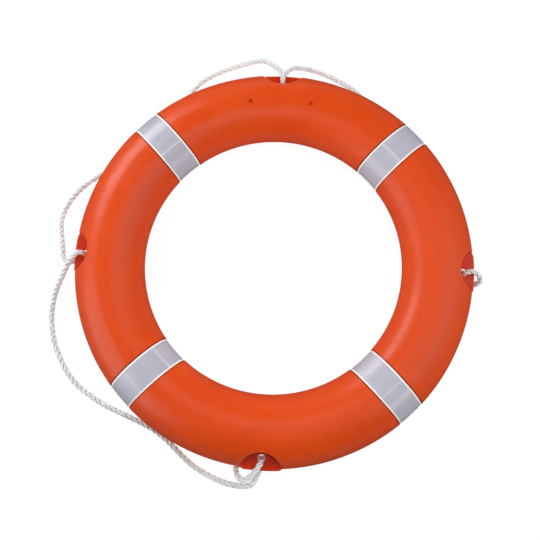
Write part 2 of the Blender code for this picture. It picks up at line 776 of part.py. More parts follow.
def build():
    clear_scene()
    orange = material("shell_orange", (0.74, 0.088, 0.021), 0.42)
    foam = material("foam_core", (0.86, 0.80, 0.62), 0.90)
    plug = material("vent_plug", (0.50, 0.045, 0.012), 0.50)
    tape = material("reflective_tape", (0.52, 0.51, 0.58), 0.35)
    rope = material("rope", (0.86, 0.86, 0.84), 0.75)
    sleeve = material("joint_sleeve", (0.80, 0.80, 0.78), 0.55)
    add_shell(orange)
    add_foam_core(foam)
    add_vent_plugs(plug)
    for number in range(POCKET_COUNT):
        add_tape(number, tape)
    add_grab_line(rope)
    add_joint_sleeve(sleeve)


build()
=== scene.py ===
"""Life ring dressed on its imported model: moulded shell, reflective tapes, laid rope and their finishes.

The ring lies on a pale floor with its axis along Z. Lengths are in metres. Azimuths are in degrees
from +X, anticlockwise seen from above, and the rope pockets are at 0, 90, 180 and 270 degrees.
"""
from math import acos, asin, atan2, copysign, cos, degrees, exp, hypot, pi, radians, sin, sqrt, tan

import bmesh
import bpy
from mathutils import Matrix, Vector, noise


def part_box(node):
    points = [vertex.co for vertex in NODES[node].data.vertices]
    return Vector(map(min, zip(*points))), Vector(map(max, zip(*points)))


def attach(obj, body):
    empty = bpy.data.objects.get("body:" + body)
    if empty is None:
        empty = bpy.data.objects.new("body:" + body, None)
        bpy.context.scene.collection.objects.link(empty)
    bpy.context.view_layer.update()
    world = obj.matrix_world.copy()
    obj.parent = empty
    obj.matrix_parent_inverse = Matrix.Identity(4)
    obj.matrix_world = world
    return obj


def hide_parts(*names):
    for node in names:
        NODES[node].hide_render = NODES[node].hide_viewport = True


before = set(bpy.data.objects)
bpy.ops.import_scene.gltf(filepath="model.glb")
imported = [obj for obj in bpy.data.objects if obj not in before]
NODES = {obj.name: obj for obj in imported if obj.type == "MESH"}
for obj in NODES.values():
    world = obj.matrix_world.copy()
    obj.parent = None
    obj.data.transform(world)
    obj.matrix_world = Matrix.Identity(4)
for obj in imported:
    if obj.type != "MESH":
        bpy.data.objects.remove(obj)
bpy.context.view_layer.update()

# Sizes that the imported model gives
SHELL_LOW, SHELL_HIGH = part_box("shell")
WEB_PROUD = 0.003             # how far the webs' edges stand out past the ring's outer edge
OUTER_RADIUS = (SHELL_HIGH.x - SHELL_LOW.x) / 2 - WEB_PROUD
INNER_RADIUS = min(hypot(vertex.co.x, vertex.co.y) for vertex in NODES["shell"].data.vertices)
MID_RADIUS = (OUTER_RADIUS + INNER_RADIUS) / 2
HALF_WIDTH = (OUTER_RADIUS - INNER_RADIUS) / 2
HALF_HEIGHT = (SHELL_HIGH.z - SHELL_LOW.z) / 2

# Section of the tube and its facets
FIT_GAP = 0.0003
TINY_LENGTH = 1e-12           # more than rounding adds to a length
LEAST_DEPTH = 1e-6            # least depth that is divided by
HALF_LAND = 0.008             # half the width of the flat annulus along the crown
LAND_SOFTNESS = 0.0004
SHELL_WALL = 0.0025
SECTION_STEPS = 26
LAND_STEPS = 4
PATCH_STEPS = 13              # columns from a pocket's middle to the edge of its patch
PLAIN_STEPS = 20
EDGE_HEIGHTS = (0.0, 0.0004, 0.0009, 0.0018, 0.0026, 0.003)   # the last is half the web
FLASH_HEIGHT = 0.00022        # ridge left by the mould's parting line
FLASH_HALF_WIDTH = 0.0009
# Shallow unevenness of the moulded wall, always inward: depth, and scales and weights of its two noises
WAVE_DEPTH = 0.00038
WAVE_SCALES = (11.0, 31.0)
WAVE_WEIGHTS = (0.42, 0.16)

# Rope pockets
POCKET_RADIUS = 0.0385
POCKET_BEYOND_EDGE = 0.0065
POCKET_RIM_ROUND = 0.004
POCKET_DRAFT = 0.0012
POCKET_FLOOR_ROUND = 0.0025
POCKET_TIP_BLEND = 0.006
# Most that the wall's rounds may take: of its depth at the rim and the foot, and of the way from a tip
RIM_SHARE = 0.35
FOOT_SHARE = 0.30
TIP_SHARE = 0.85
POCKET_COUNT = 4
QUARTER = 360.0 / POCKET_COUNT
PATCH_MARGIN = 0.0302
BLEND_LAYERS = 7
RIM_STEPS = 7
WALL_STEPS = 3
FOOT_STEPS = 4
RIM_SAMPLES = 800
WEB_EDGE_ROUND = 0.0016
WEB_EDGE_STEPS = 26
WEB_FULL_FROM = 0.82          # share of the way to a tip up to which the web stands fully out
HOLE_FROM_EDGE = 0.017
HOLE_DIAMETER = 0.014
HOLE_LIP_ROUND = 0.0026
HOLE_LIP_STEPS = 5
FLOOR_LAYERS = 5
EDGE_WEAR_AND_HIGHLIGHT = 0.3               # how much lighter the web's edge is painted: wear and a painted highlight
LIP_WEAR_AND_HIGHLIGHT = 0.6                # how much lighter the hole's lip is painted: wear and a painted highlight

# Tapes and the bands that they lie in
TAPE_WIDTH = 0.050
TAPE_THICKNESS = 0.0006
TAPE_SET_BACK = 0.0008
TAPE_SEAM = 0.0010
TAPE_BORDER = 0.0027          # bright edge along each side of a tape
BORDER_SUNK = 0.00012
BORDER_SOFTNESS = (-0.0002, 0.0003)   # where the border fades out, from its width
TAPE_EDGE_ROUND = 0.0004      # width of the rounding along a tape's edge
TAPE_EDGE_DROP = 0.00035
CREASE_RISE = 0.00022
TAPE_STATIONS = 220
BAND_STEPS = 8                # columns of the shell under a tape
# Wall of a band: distance beyond the tape's edge, share of the band's depth, strength of the painted
# shade on it
BAND_WALL = ((0.0003, 1.0, 1.0), (0.0005, 0.55, 1.0), (0.0009, 0.22, 1.0), (0.0015, 0.05, 0.85),
             (0.0022, 0.0, 0.45), (0.0034, 0.0, 0.0))
# Creases along the ring's run: share of the way from the outer edge to the inner, half width, strength of
# the rise and of the painted highlight
TAPE_CREASES = {
    "tape_a": ((0.587, 0.0019, 0.90), (0.864, 0.0060, 0.25)),
    "tape_b": ((0.291, 0.0060, 0.45), (0.686, 0.0014, 1.00), (0.872, 0.0050, 0.45)),
    "tape_c": ((0.323, 0.0040, 0.35), (0.828, 0.0018, 0.90)),
    "tape_d": ((0.291, 0.0065, 0.70), (0.467, 0.0014, 0.70), (0.872, 0.0075, 0.70)),
}

# Vents and their plugs
VENT_DIAMETER = 0.0052
VENT_OFFSET = 0.004
VENT_AZIMUTH = 90.0           # of the middle between the vents
VENT_SPREAD = 10.8
PLUG_RECESS = 0.0005
PLUG_ROUND = 0.0004
SMALL_SIDES = 32              # sides of the vents and the plugs
SHARP_ANGLE = 40.0            # degrees between faces from which an edge is sharp

# Grab line
ROPE_DIAMETER = 0.010
ROPE_CLEARANCE = 0.0025
ROPE_LAY = 0.033
ROPE_RING_STEP = 0.0017
STRAND_COUNT = 3
STRAND_RADIUS = 0.00244
STRAND_PROUD = 0.00022        # how far a strand swells past the rope's nominal diameter
STRAND_STRETCH = 1.12         # widening of a strand's cut across the rope, because it runs aslant
STRAND_SIDES = 12
STRAND_SWELL = 0.03           # how much a strand's radius varies along the rope
STRAND_GROOVE = (0.55, -0.35)   # cosines from a strand's crown at the top and the bottom of a groove
YARN_COUNT = 11.0             # yarns that show round a strand
YARN_SLANT = 2.15             # turns that a yarn makes round its strand in one lay of the rope
SPAN_POINTS = 24
SLEEVE_LENGTH = 0.060
SLEEVE_WALL = 0.0018
SLEEVE_LEAD = 0.006
SLEEVE_AZIMUTH = 316.0
SLEEVE_FROM_EDGE = 0.007
SLEEVE_SIDES = 40
SLEEVE_STEPS = 44
SLEEVE_RIPPLE = 0.00022       # how far the skin sinks between the strands

ELLIPSE_HEIGHT = HALF_HEIGHT / sqrt(1 - (HALF_LAND / HALF_WIDTH) ** 2)
HALF_WEB = EDGE_HEIGHTS[-1]
WEB_ANGLE = asin(HALF_WEB / ELLIPSE_HEIGHT)
LAND_ANGLE = acos(HALF_LAND / HALF_WIDTH)
BAND_RADIUS = MID_RADIUS + HALF_WIDTH * cos(WEB_ANGLE)
POCKET_CENTRE = OUTER_RADIUS + POCKET_BEYOND_EDGE
# Direction of a pocket's tips, where its circle meets the web's face on the ring's outer side
POCKET_TIP = acos((POCKET_RADIUS ** 2 + POCKET_CENTRE ** 2 - BAND_RADIUS ** 2)
                       / (2 * POCKET_RADIUS * POCKET_CENTRE))
PATCH_ANGLE = degrees(asin((POCKET_RADIUS + PATCH_MARGIN) / OUTER_RADIUS))
HOLE_CENTRE = OUTER_RADIUS - HOLE_FROM_EDGE
TAPE_BAND_DEPTH = TAPE_SET_BACK + TAPE_THICKNESS + FIT_GAP
VENT_RADIUS = MID_RADIUS - VENT_OFFSET
SLEEVE_RADIUS = OUTER_RADIUS - SLEEVE_FROM_EDGE
ROPE_FLOOR = ROPE_DIAMETER / 2 + FIT_GAP
HOLE_PLAY = (HOLE_DIAMETER - ROPE_DIAMETER) / 2 - FIT_GAP * 2
EDGE_ROWS = len(EDGE_HEIGHTS) - 1
LAND_ROW = EDGE_ROWS + SECTION_STEPS

# Camera, as the photograph was taken: tilt and turn off the ring's axis, and the ring's turn in the view
IMAGE_SIZE = 540
FOCAL_PIXELS = 642.5
CAMERA_DISTANCE = 1.168
CAMERA_TILT = radians(10.04)
CAMERA_TURN = radians(1.44)
RING_TURN = radians(3.2)
AXIS_PIXEL = (272.6, 263.2)   # where the lens axis would meet the picture
SENSOR_WIDTH = 36.0

# Lamps by azimuth, elevation, distance, width, height, power and whether they leave a highlight
LAMPS = (
    ("key", 141.0, 31.0, 1.70, 1.10, 0.72, 11.4, True),
    ("over_bore", 149.0, 90.0, 0.95, 0.55, 0.55, 2.4, False),
    ("side_top", 95.0, 15.5, 1.70, 0.60, 0.60, 4.5, False),
    ("side_left", 203.0, 31.0, 1.70, 1.60, 1.60, 12.0, True),
    ("side_right", 355.0, 46.0, 1.70, 1.80, 1.80, 19.9, False),
)
# The surround's light is faint and brighter at the horizon, and the floor glows
WORLD_LIGHT = 0.04
HORIZON_LIGHT = 0.27
FLOOR_GLOW = 0.90
FLOOR_REFLECTANCE = 0.16
FLOOR_SIZE = 30.0
FLOOR_GAP = 0.0003            # keeps the floor just below the ring's underside
BACKDROP_RADIUS = 28.0
BACKDROP_GLOW = 0.93


def lerp(a, b, share):
    return a + (b - a) * share


def smooth(low, high, value):
    """Smooth step from 0 at low to 1 at high; high may be the smaller."""
    share = max(0.0, min(1.0, (value - low) / (high - low)))
    return share * share * (3 - 2 * share)


def at(radius, azimuth, height):
    """A point from its radius, its azimuth in degrees and its height above the ring's mid-plane."""
    turn = radians(azimuth)
    return Vector((radius * cos(turn), radius * sin(turn), HALF_HEIGHT + height))


def relative(azimuth, centre):
    return (azimuth - centre + 180.0) % 360.0 - 180.0


def walk(points):
    """Distance along a line of points to each of them."""
    walked = [0.0]
    for first, second in zip(points, points[1:]):
        walked.append(walked[-1] + (second - first).length)
    return walked


# Shader helpers

def new_finish(name):
    finish = bpy.data.materials.new(name)
    finish.use_nodes = True
    return finish, finish.node_tree, finish.node_tree.nodes["Principled BSDF"]


def feed(tree, node, inputs):
    """Sets a node's inputs by name or index; a value that is a socket is linked to its input."""
    for key, value in inputs.items():
        if isinstance(value, bpy.types.NodeSocket):
            tree.links.new(value, node.inputs[key])
        else:
            node.inputs[key].default_value = value


def add_node(tree, kind, inputs=None, **settings):
    made = tree.nodes.new(kind)
    for key, value in settings.items():
        setattr(made, key, value)
    feed(tree, made, inputs or {})
    return made


def noise_of(tree, vector, scale, detail=3.0, roughness=0.5):
    inputs = {"Vector": vector, "Scale": scale, "Detail": detail, "Roughness": roughness}
    return add_node(tree, "ShaderNodeTexNoise", inputs).outputs[0]


def maths(tree, operation, a, b=0.0, c=0.0):
    return add_node(tree, "ShaderNodeMath", {0: a, 1: b, 2: c}, operation=operation).outputs[0]


def spread(tree, value, low, high, to_low=0.0, to_high=1.0):
    inputs = {"Value": value, "From Min": low, "From Max": high, "To Min": to_low, "To Max": to_high}
    return add_node(tree, "ShaderNodeMapRange", inputs, clamp=True).outputs[0]


def mixed(tree, share, first, second, most=None):
    """Mix of two colours, each a socket or linear values; most is how far a full share goes."""
    colours = [value if isinstance(value, bpy.types.NodeSocket) else (*value, 1.0)
               for value in (first, second)]
    if most is not None:
        share = spread(tree, share, 0.0, 1.0, 0.0, most)
    inputs = {0: share, 6: colours[0], 7: colours[1]}
    return add_node(tree, "ShaderNodeMix", inputs, data_type="RGBA").outputs[2]


def varied(tree, place, scale, detail, first, second):
    """Colour that drifts between two from place to place."""
    drift = spread(tree, noise_of(tree, place, scale, detail), 0.35, 0.65)
    return mixed(tree, drift, first, second)


def place_of(tree):
    return add_node(tree, "ShaderNodeTexCoord").outputs["Object"]


def mark_of(tree, name):
    return add_node(tree, "ShaderNodeAttribute", attribute_name=name).outputs["Fac"]


def bumped(tree, shader, heights):
    """Chain of bumps into the shader's normal, from (height socket, distance in metres, strength)."""
    normal = None
    for height, distance, strength in heights:
        inputs = {"Height": height, "Distance": distance, "Strength": strength}
        if normal is not None:
            inputs["Normal"] = normal
        normal = add_node(tree, "ShaderNodeBump", inputs).outputs[0]
    tree.links.new(normal, shader.inputs["Normal"])


# Mesh helpers

def add_object(name, data):
    made = bpy.data.objects.new(name, data)
    bpy.context.scene.collection.objects.link(made)
    return made


def add_piece(name, mesh, finish, replaced):
    """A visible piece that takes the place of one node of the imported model."""
    piece = add_object(name, mesh)
    mesh.materials.append(finish)
    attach(piece, "root")
    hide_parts(replaced)
    return piece


def finished_mesh(bm, name, sharp_angle=SHARP_ANGLE):
    bmesh.ops.recalc_face_normals(bm, faces=bm.faces[:])
    mesh = bpy.data.meshes.new(name)
    bm.to_mesh(mesh)
    bm.free()
    mesh.shade_smooth()
    mesh.set_sharp_from_angle(angle=radians(sharp_angle))
    return mesh


def full_turn(steps):
    return [2 * pi * i / steps for i in range(steps)]


def join_rings(bm, rings):
    """Faces between neighbouring closed rings of as many vertices."""
    for low, high in zip(rings, rings[1:]):
        for i in range(len(low)):
            j = (i + 1) % len(low)
            bm.faces.new([low[i], low[j], high[j], high[i]])


def cap_rings(bm, rings):
    bm.faces.new(list(reversed(rings[0])))
    bm.faces.new(rings[-1])


def turned(profile):
    """Closed solid turned about Z from a profile of radii and heights, bottom to top."""
    bm = bmesh.new()
    rings = []
    for radius, height in profile:
        rings.append([bm.verts.new((radius * cos(turn), radius * sin(turn), height))
                      for turn in full_turn(SMALL_SIDES)])
    join_rings(bm, rings)
    cap_rings(bm, rings)
    return bm


# Camera

def add_camera():
    lens = bpy.data.cameras.new("camera")
    lens.sensor_width = SENSOR_WIDTH
    lens.lens = SENSOR_WIDTH * FOCAL_PIXELS / IMAGE_SIZE
    lens.shift_x = (IMAGE_SIZE / 2 - AXIS_PIXEL[0]) / IMAGE_SIZE
    lens.shift_y = (AXIS_PIXEL[1] - IMAGE_SIZE / 2) / IMAGE_SIZE
    lens.clip_start = 0.05
    back = Vector((sin(CAMERA_TURN), -sin(CAMERA_TILT) * cos(CAMERA_TURN),
                   cos(CAMERA_TILT) * cos(CAMERA_TURN)))
    right = Vector((0.0, 1.0, 0.0)).cross(back).normalized()
    up = back.cross(right)
    turn = Matrix.Rotation(RING_TURN, 4, "Z")
    frame_of_view = Matrix((right, up, back)).transposed().to_4x4()
    camera = add_object("camera", lens)
    place = Vector((0.0, 0.0, HALF_HEIGHT)) + turn @ back * CAMERA_DISTANCE
    camera.matrix_world = Matrix.Translation(place) @ turn @ frame_of_view
    bpy.context.scene.camera = camera


# Grab line

def hitch(azimuth, points):
    """Route points beside one web, given out from its hole, along the ring and up from the web."""
    turn = Matrix.Rotation(radians(azimuth), 4, "Z")
    return [turn @ Vector((HOLE_CENTRE + out, along, HALF_HEIGHT + up)) for out, along, up in points]


def hole_pass():
    """The rope's bend round the web's bridge, as places out from the hole and up from the web."""
    bend = HALF_WEB + ROPE_DIAMETER / 2 + ROPE_CLEARANCE
    turns = [pi / 2 + pi * i / 4 for i in range(5)]
    return [(HOLE_PLAY + bend + bend * cos(turn), bend * sin(turn)) for turn in turns]


def loop_points(points):
    """Route points of a loop, given as azimuth, distance beyond the ring and height above the floor."""
    return [at(OUTER_RADIUS + beyond, azimuth, height - HALF_HEIGHT)
            for azimuth, beyond, height in points]


def swayed(arc, amount):
    """Local route points of the bend, swung along the ring as they leave the hole."""
    return [(out, amount * (out - HOLE_PLAY) ** 2, up) for out, up in arc]


def sleeve_frame():
    """Middle of the joint sleeve and the way along it, clockwise round the ring."""
    middle = at(SLEEVE_RADIUS, SLEEVE_AZIMUTH, ROPE_FLOOR + SLEEVE_WALL - HALF_HEIGHT)
    turn = radians(SLEEVE_AZIMUTH - 90.0)
    return middle, Vector((cos(turn), sin(turn), 0.0))


def sleeve_points(side):
    """Straight run of the line from its cut end in the sleeve to just beyond the sleeve."""
    middle, along = sleeve_frame()
    half = SLEEVE_LENGTH / 2
    return [middle + along * (side * d) for d in (FIT_GAP, half, half + SLEEVE_LEAD)]


def grab_line_route():
    """Route of the grab line's centre, clockwise round the ring from its joint sleeve."""
    arc = hole_pass()
    down = arc[:3]
    away = arc[3:]
    floor = ROPE_FLOOR
    route = sleeve_points(1)
    route += loop_points([(291.0, -0.008, floor)])
    # Lower side: the line comes up behind the web, over its edge and down through the hole
    route += hitch(270.0, [(0.006, 0.024, -0.0462), (0.005, -0.006, -0.044),
                           (0.0155, -0.0405, -0.027), (0.0245, -0.0435, -0.012),
                           (0.0365, -0.033, 0.0025), (0.031, -0.019, 0.0085)])
    route += hitch(270.0, swayed(down, -34.0) + swayed(away, 0.0))
    route += hitch(270.0, [(0.029, -0.0065, -0.0112), (0.046, -0.016, -0.013)])
    # First loop, the widest
    route += loop_points([(262.0, 0.036, 0.027), (252.0, 0.029, 0.0075), (238.0, 0.0085, floor),
                          (220.5, 0.0463, floor), (212.0, 0.0662, floor), (203.0, 0.072, floor),
                          (196.0, 0.066, 0.009), (190.5, 0.05, 0.0225)])
    # Left side: over the edge into the hole, then out behind and round below itself
    route += hitch(180.0, [(0.04, 0.037, -0.006), (0.0265, 0.0135, 0.006)])
    route += hitch(180.0, swayed(down, 0.0) + swayed(away, 34.0))
    route += hitch(180.0, [(0.025, 0.012, -0.0115), (0.0365, 0.015, -0.013),
                           (0.0465, 0.006, -0.015), (0.051, -0.011, -0.0185)])
    # Second loop
    route += loop_points([(169.0, 0.0575, 0.011), (161.0, 0.0475, floor), (150.0, 0.011, floor),
                          (138.0, 0.001, floor), (126.0, 0.006, floor), (113.0, 0.044, floor),
                          (103.0, 0.049, 0.0175), (96.0, 0.0445, 0.037)])
    # Top side
    route += hitch(90.0, [(0.048, 0.023, -0.007), (0.028, 0.004, 0.006)])
    route += hitch(90.0, swayed(arc, 0.0))
    route += hitch(90.0, [(0.029, -0.003, -0.0102), (0.046, -0.0185, -0.015)])
    # Third loop
    route += loop_points([(80.0, 0.0383, 0.017), (72.0, 0.0336, floor), (66.0, 0.022, floor),
                          (40.0, -0.005, floor), (20.0, -0.008, floor)])
    # Right side: under the web, round its edge, down through the hole and away behind
    route += hitch(0.0, [(0.008, 0.048, -0.047), (0.0085, 0.003, -0.0415),
                         (0.0235, -0.017, -0.0205), (0.031, -0.0125, -0.0035),
                         (0.025, -0.003, 0.0072)])
    route += hitch(0.0, swayed(down, 14.0))
    route += hitch(0.0, [(0.0004, -0.004, -0.01), (0.005, -0.023, -0.0315),
                         (0.0095, -0.049, -0.0425)])
    # Fourth loop, hidden under the ring, back to the joint sleeve
    route += loop_points([(336.0, -0.008, floor)])
    route += list(reversed(sleeve_points(-1)))
    return route


def between(a, b, start, end, t):
    """Point at t on the straight way from a at start to b at end."""
    return a * ((end - t) / (end - start)) + b * ((t - start) / (end - start))


def smooth_line(points):
    """A centripetal Catmull-Rom curve through the points, as closely spaced points off the floor."""
    ends = [points[0] * 2 - points[1]] + points + [points[-1] * 2 - points[-2]]
    line = [points[0].copy()]
    for p0, p1, p2, p3 in zip(ends, ends[1:], ends[2:], ends[3:]):
        t1 = sqrt((p1 - p0).length)
        t2 = t1 + sqrt((p2 - p1).length)
        t3 = t2 + sqrt((p3 - p2).length)
        for i in range(1, SPAN_POINTS + 1):
            t = lerp(t1, t2, i / SPAN_POINTS)
            a1 = between(p0, p1, 0.0, t1, t)
            a2 = between(p1, p2, t1, t2, t)
            a3 = between(p2, p3, t2, t3, t)
            b1 = between(a1, a2, 0.0, t2, t)
            b2 = between(a2, a3, t1, t3, t)
            line.append(between(b1, b2, t1, t2, t))
    return [Vector((point.x, point.y, max(point.z, ROPE_FLOOR))) for point in line]


def evenly_spaced(line, step):
    """Points at equal steps along a line, with their distances from its start."""
    walked = walk(line)
    count = round(walked[-1] / step)
    spaced = []
    k = 0
    for i in range(count + 1):
        want = walked[-1] * i / count
        while k < len(line) - 2 and walked[k + 1] < want:
            k += 1
        share = (want - walked[k]) / (walked[k + 1] - walked[k])
        spaced.append((line[k].lerp(line[k + 1], share), want))
    return spaced


def carried_frames(points):
    """Tangent and two normals at each point, carried along the line without twist."""
    frames = []
    normal = None
    for i, point in enumerate(points):
        tangent = (points[min(i + 1, len(points) - 1)] - points[max(i - 1, 0)]).normalized()
        if normal is None:
            normal = tangent.orthogonal()
        normal = (normal - tangent * normal.dot(tangent)).normalized()
        frames.append((tangent, normal, tangent.cross(normal)))
    return frames


def strand_ring(point, cross, turn, swell):
    """Points round one strand's cut, with how deep each lies between the strands."""
    _, first, second = cross
    out = first * cos(turn) + second * sin(turn)
    along = second * cos(turn) - first * sin(turn)
    thick = STRAND_RADIUS * swell
    wide = thick * STRAND_STRETCH
    middle = point + out * (ROPE_DIAMETER / 2 + STRAND_PROUD - STRAND_RADIUS)
    ring = []
    for angle in full_turn(STRAND_SIDES):
        place = middle + out * (thick * cos(angle)) + along * (wide * sin(angle))
        ring.append((place, smooth(*STRAND_GROOVE, cos(angle))))
    return ring


def laid_rope(spaced):
    """Right-hand laid rope of three strands along evenly spaced points, with UV and groove marks."""
    points = [point for point, _ in spaced]
    crosses = carried_frames(points)
    bm = bmesh.new()
    groove = bm.verts.layers.float.new("groove")
    uv = bm.loops.layers.uv.new("lay")
    for strand in range(STRAND_COUNT):
        rings = []
        for (point, walked), cross in zip(spaced, crosses):
            turn = 2 * pi * (walked / ROPE_LAY + strand / STRAND_COUNT)
            swell = 1.0 + STRAND_SWELL * noise.noise(Vector((walked * 60.0, strand * 7.0, 0.5)))
            ring = []
            for place, depth in strand_ring(point, cross, turn, swell):
                vertex = bm.verts.new(place)
                vertex[groove] = depth
                ring.append(vertex)
            rings.append(ring)
        for k in range(len(rings) - 1):
            near = spaced[k][1]
            far = spaced[k + 1][1]
            for i in range(STRAND_SIDES):
                j = (i + 1) % STRAND_SIDES
                face = bm.faces.new([rings[k][i], rings[k][j], rings[k + 1][j], rings[k + 1][i]])
                places = ((i, near), (i + 1, near), (i + 1, far), (i, far))
                for loop, (side, walked) in zip(face.loops, places):
                    loop[uv].uv = (side / STRAND_SIDES, walked)
        cap_rings(bm, rings)
    return finished_mesh(bm, "laid_rope", 60.0)


def rope_finish():
    finish, tree, shader = new_finish("laid_rope_white")
    lay = add_node(tree, "ShaderNodeUVMap", uv_map="lay").outputs[0]
    around, along, _ = add_node(tree, "ShaderNodeSeparateXYZ", {0: lay}).outputs
    place = place_of(tree)
    groove = mark_of(tree, "groove")
    # Yarns run nearly along the rope, so they cross each strand aslant
    aslant = maths(tree, "MULTIPLY_ADD", along, YARN_SLANT / ROPE_LAY, around)
    wobble = noise_of(tree, place, 160.0, 2.0)
    phase = maths(tree, "MULTIPLY_ADD", aslant, YARN_COUNT, wobble)
    yarns = maths(tree, "ABSOLUTE", maths(tree, "SINE", maths(tree, "MULTIPLY", phase, pi)))
    fibres = noise_of(tree, place, 2600.0, 3.0, 0.6)
    clean = varied(tree, place, 22.0, 3.0, (0.90, 0.96, 0.96), (0.85, 0.91, 0.91))
    # Valleys between the yarns painted greyer: painted shade
    yarn_shaded = mixed(tree, spread(tree, yarns, 0.0, 0.5, 0.12, 0.0), clean, (0.70, 0.70, 0.70))
    # Strands painted greyer down between them: painted shade in the grooves
    deep = mixed(tree, groove, yarn_shaded, (0.62, 0.62, 0.61), 0.16)
    feed(tree, shader, {"Base Color": deep, "Roughness": 0.62, "Specular IOR Level": 0.35,
                        "Sheen Weight": 0.18, "Sheen Roughness": 0.5})
    bumped(tree, shader, [(yarns, 0.00035, 0.8), (fibres, 0.00010, 0.5)])
    return finish


def sleeve_profile():
    """The sleeve's section from edge to edge of its bore: radius, height and share of the ripple."""
    bore = ROPE_DIAMETER / 2 + FIT_GAP
    outer = bore + SLEEVE_WALL
    half = SLEEVE_LENGTH / 2
    lip = SLEEVE_WALL * 0.8
    end = [(bore, -half, 0.0)]
    for i in range(5):
        turn = pi / 2 * i / 4
        end.append((outer - lip + lip * sin(turn), -half + lip - lip * cos(turn), i / 4))
    body = [(outer, lerp(-half + lip, half - lip, i / SLEEVE_STEPS), 1.0)
            for i in range(1, SLEEVE_STEPS)]
    return end + body + [(radius, -height, share) for radius, height, share in reversed(end)]


def sleeve_mesh():
    """Sleeve along Z, shrunk a little into the lay of the strands under it."""
    bm = bmesh.new()
    rings = []
    for radius, height, share in sleeve_profile():
        ring = []
        for turn in full_turn(SLEEVE_SIDES):
            strands = cos(STRAND_COUNT * (turn - 2 * pi * height / ROPE_LAY)) - 1
            reach = radius + share * SLEEVE_RIPPLE * strands
            ring.append(bm.verts.new((reach * cos(turn), reach * sin(turn), height)))
        rings.append(ring)
    join_rings(bm, rings + rings[:1])
    return bm


def sleeve_finish():
    finish, tree, shader = new_finish("shrunk_sleeve_white")
    place = place_of(tree)
    tint = varied(tree, place, 60.0, 4.0, (0.74, 0.74, 0.72), (0.66, 0.66, 0.65))
    rough = spread(tree, noise_of(tree, place, 300.0, 2.0), 0.3, 0.7, 0.42, 0.58)
    feed(tree, shader, {"Base Color": tint, "Roughness": rough})
    bumped(tree, shader, [(noise_of(tree, place, 900.0, 3.0), 0.0001, 0.4)])
    return finish


def add_sleeve():
    bm = sleeve_mesh()
    middle, along = sleeve_frame()
    bm.transform(Matrix.Translation(middle) @ along.to_track_quat("Z", "Y").to_matrix().to_4x4())
    mesh = finished_mesh(bm, "shrunk_sleeve")
    return add_piece("shrunk_sleeve", mesh, sleeve_finish(), "joint_sleeve")


def add_grab_line(sleeve):
    spaced = evenly_spaced(smooth_line(grab_line_route()), ROPE_RING_STEP)
    rope = add_piece("laid_rope", laid_rope(spaced), rope_finish(), "grab_line")


# Shell

def land_height(height):
    """Height eased into the flat land, so that the land's edges are soft."""
    nearness = max(LAND_SOFTNESS - abs(height - HALF_HEIGHT), 0.0) / LAND_SOFTNESS
    return min(height, HALF_HEIGHT) - nearness * nearness * LAND_SOFTNESS / 4


def section(angle, inset=0.0):
    """Radius and height of the tube's section at a section angle, moved in along its normal.

    Angle 0 is the outer edge, pi/2 the crown, pi the inner edge and -pi/2 the underside.
    """
    across = cos(angle)
    up = sin(angle)
    normal = Vector((across / HALF_WIDTH, up / ELLIPSE_HEIGHT)).normalized()
    radius = MID_RADIUS + HALF_WIDTH * across - inset * normal.x
    height = land_height(abs(ELLIPSE_HEIGHT * up)) - inset * abs(normal.y)
    return radius, copysign(height, up)


def surface_height(radius):
    """Height of the tube's upper surface above the mid-plane at a radius."""
    share = min(1.0, abs(radius - MID_RADIUS) / HALF_WIDTH)
    return land_height(ELLIPSE_HEIGHT * sqrt(1 - share * share))


def section_angle(radius):
    return acos(max(-1.0, min(1.0, (radius - MID_RADIUS) / HALF_WIDTH)))


def section_rows():
    """Section angles of the shell's rows, once round the tube from the outer edge over the crown."""
    edge = [asin(height / ELLIPSE_HEIGHT) for height in EDGE_HEIGHTS]
    steps = range(1, SECTION_STEPS + 1)
    outer = edge + [lerp(WEB_ANGLE, LAND_ANGLE, i / SECTION_STEPS) for i in steps]
    land = [lerp(LAND_ANGLE, pi - LAND_ANGLE, i / LAND_STEPS) for i in range(1, LAND_STEPS + 1)]
    inner = [pi - angle for angle in reversed(outer[:-1])]
    upper = outer + land + inner
    return upper + [-angle for angle in reversed(upper[1:-1])]


def flash(height):
    """Rise of the mould's parting line at a height above the mid-plane."""
    return FLASH_HEIGHT * max(0.0, 1 - (height / FLASH_HALF_WIDTH) ** 2)


def wave(point):
    """Depth of the wall's unevenness at a point."""
    broad = noise.noise(point * WAVE_SCALES[0])
    fine = noise.noise(point * WAVE_SCALES[1] + Vector((5.0, 3.0, 1.0)))
    return WAVE_DEPTH * max(0.0, 0.5 + WAVE_WEIGHTS[0] * broad + WAVE_WEIGHTS[1] * fine)


def skin_point(angle, azimuth, inset=0.0, ridge=1.0):
    """Point of the shell's outer surface, with its unevenness and its parting line."""
    radius, height = section(angle)
    depth = inset + wave(at(radius, azimuth, height)) - ridge * flash(height)
    radius, height = section(angle, depth)
    return at(radius, azimuth, height)


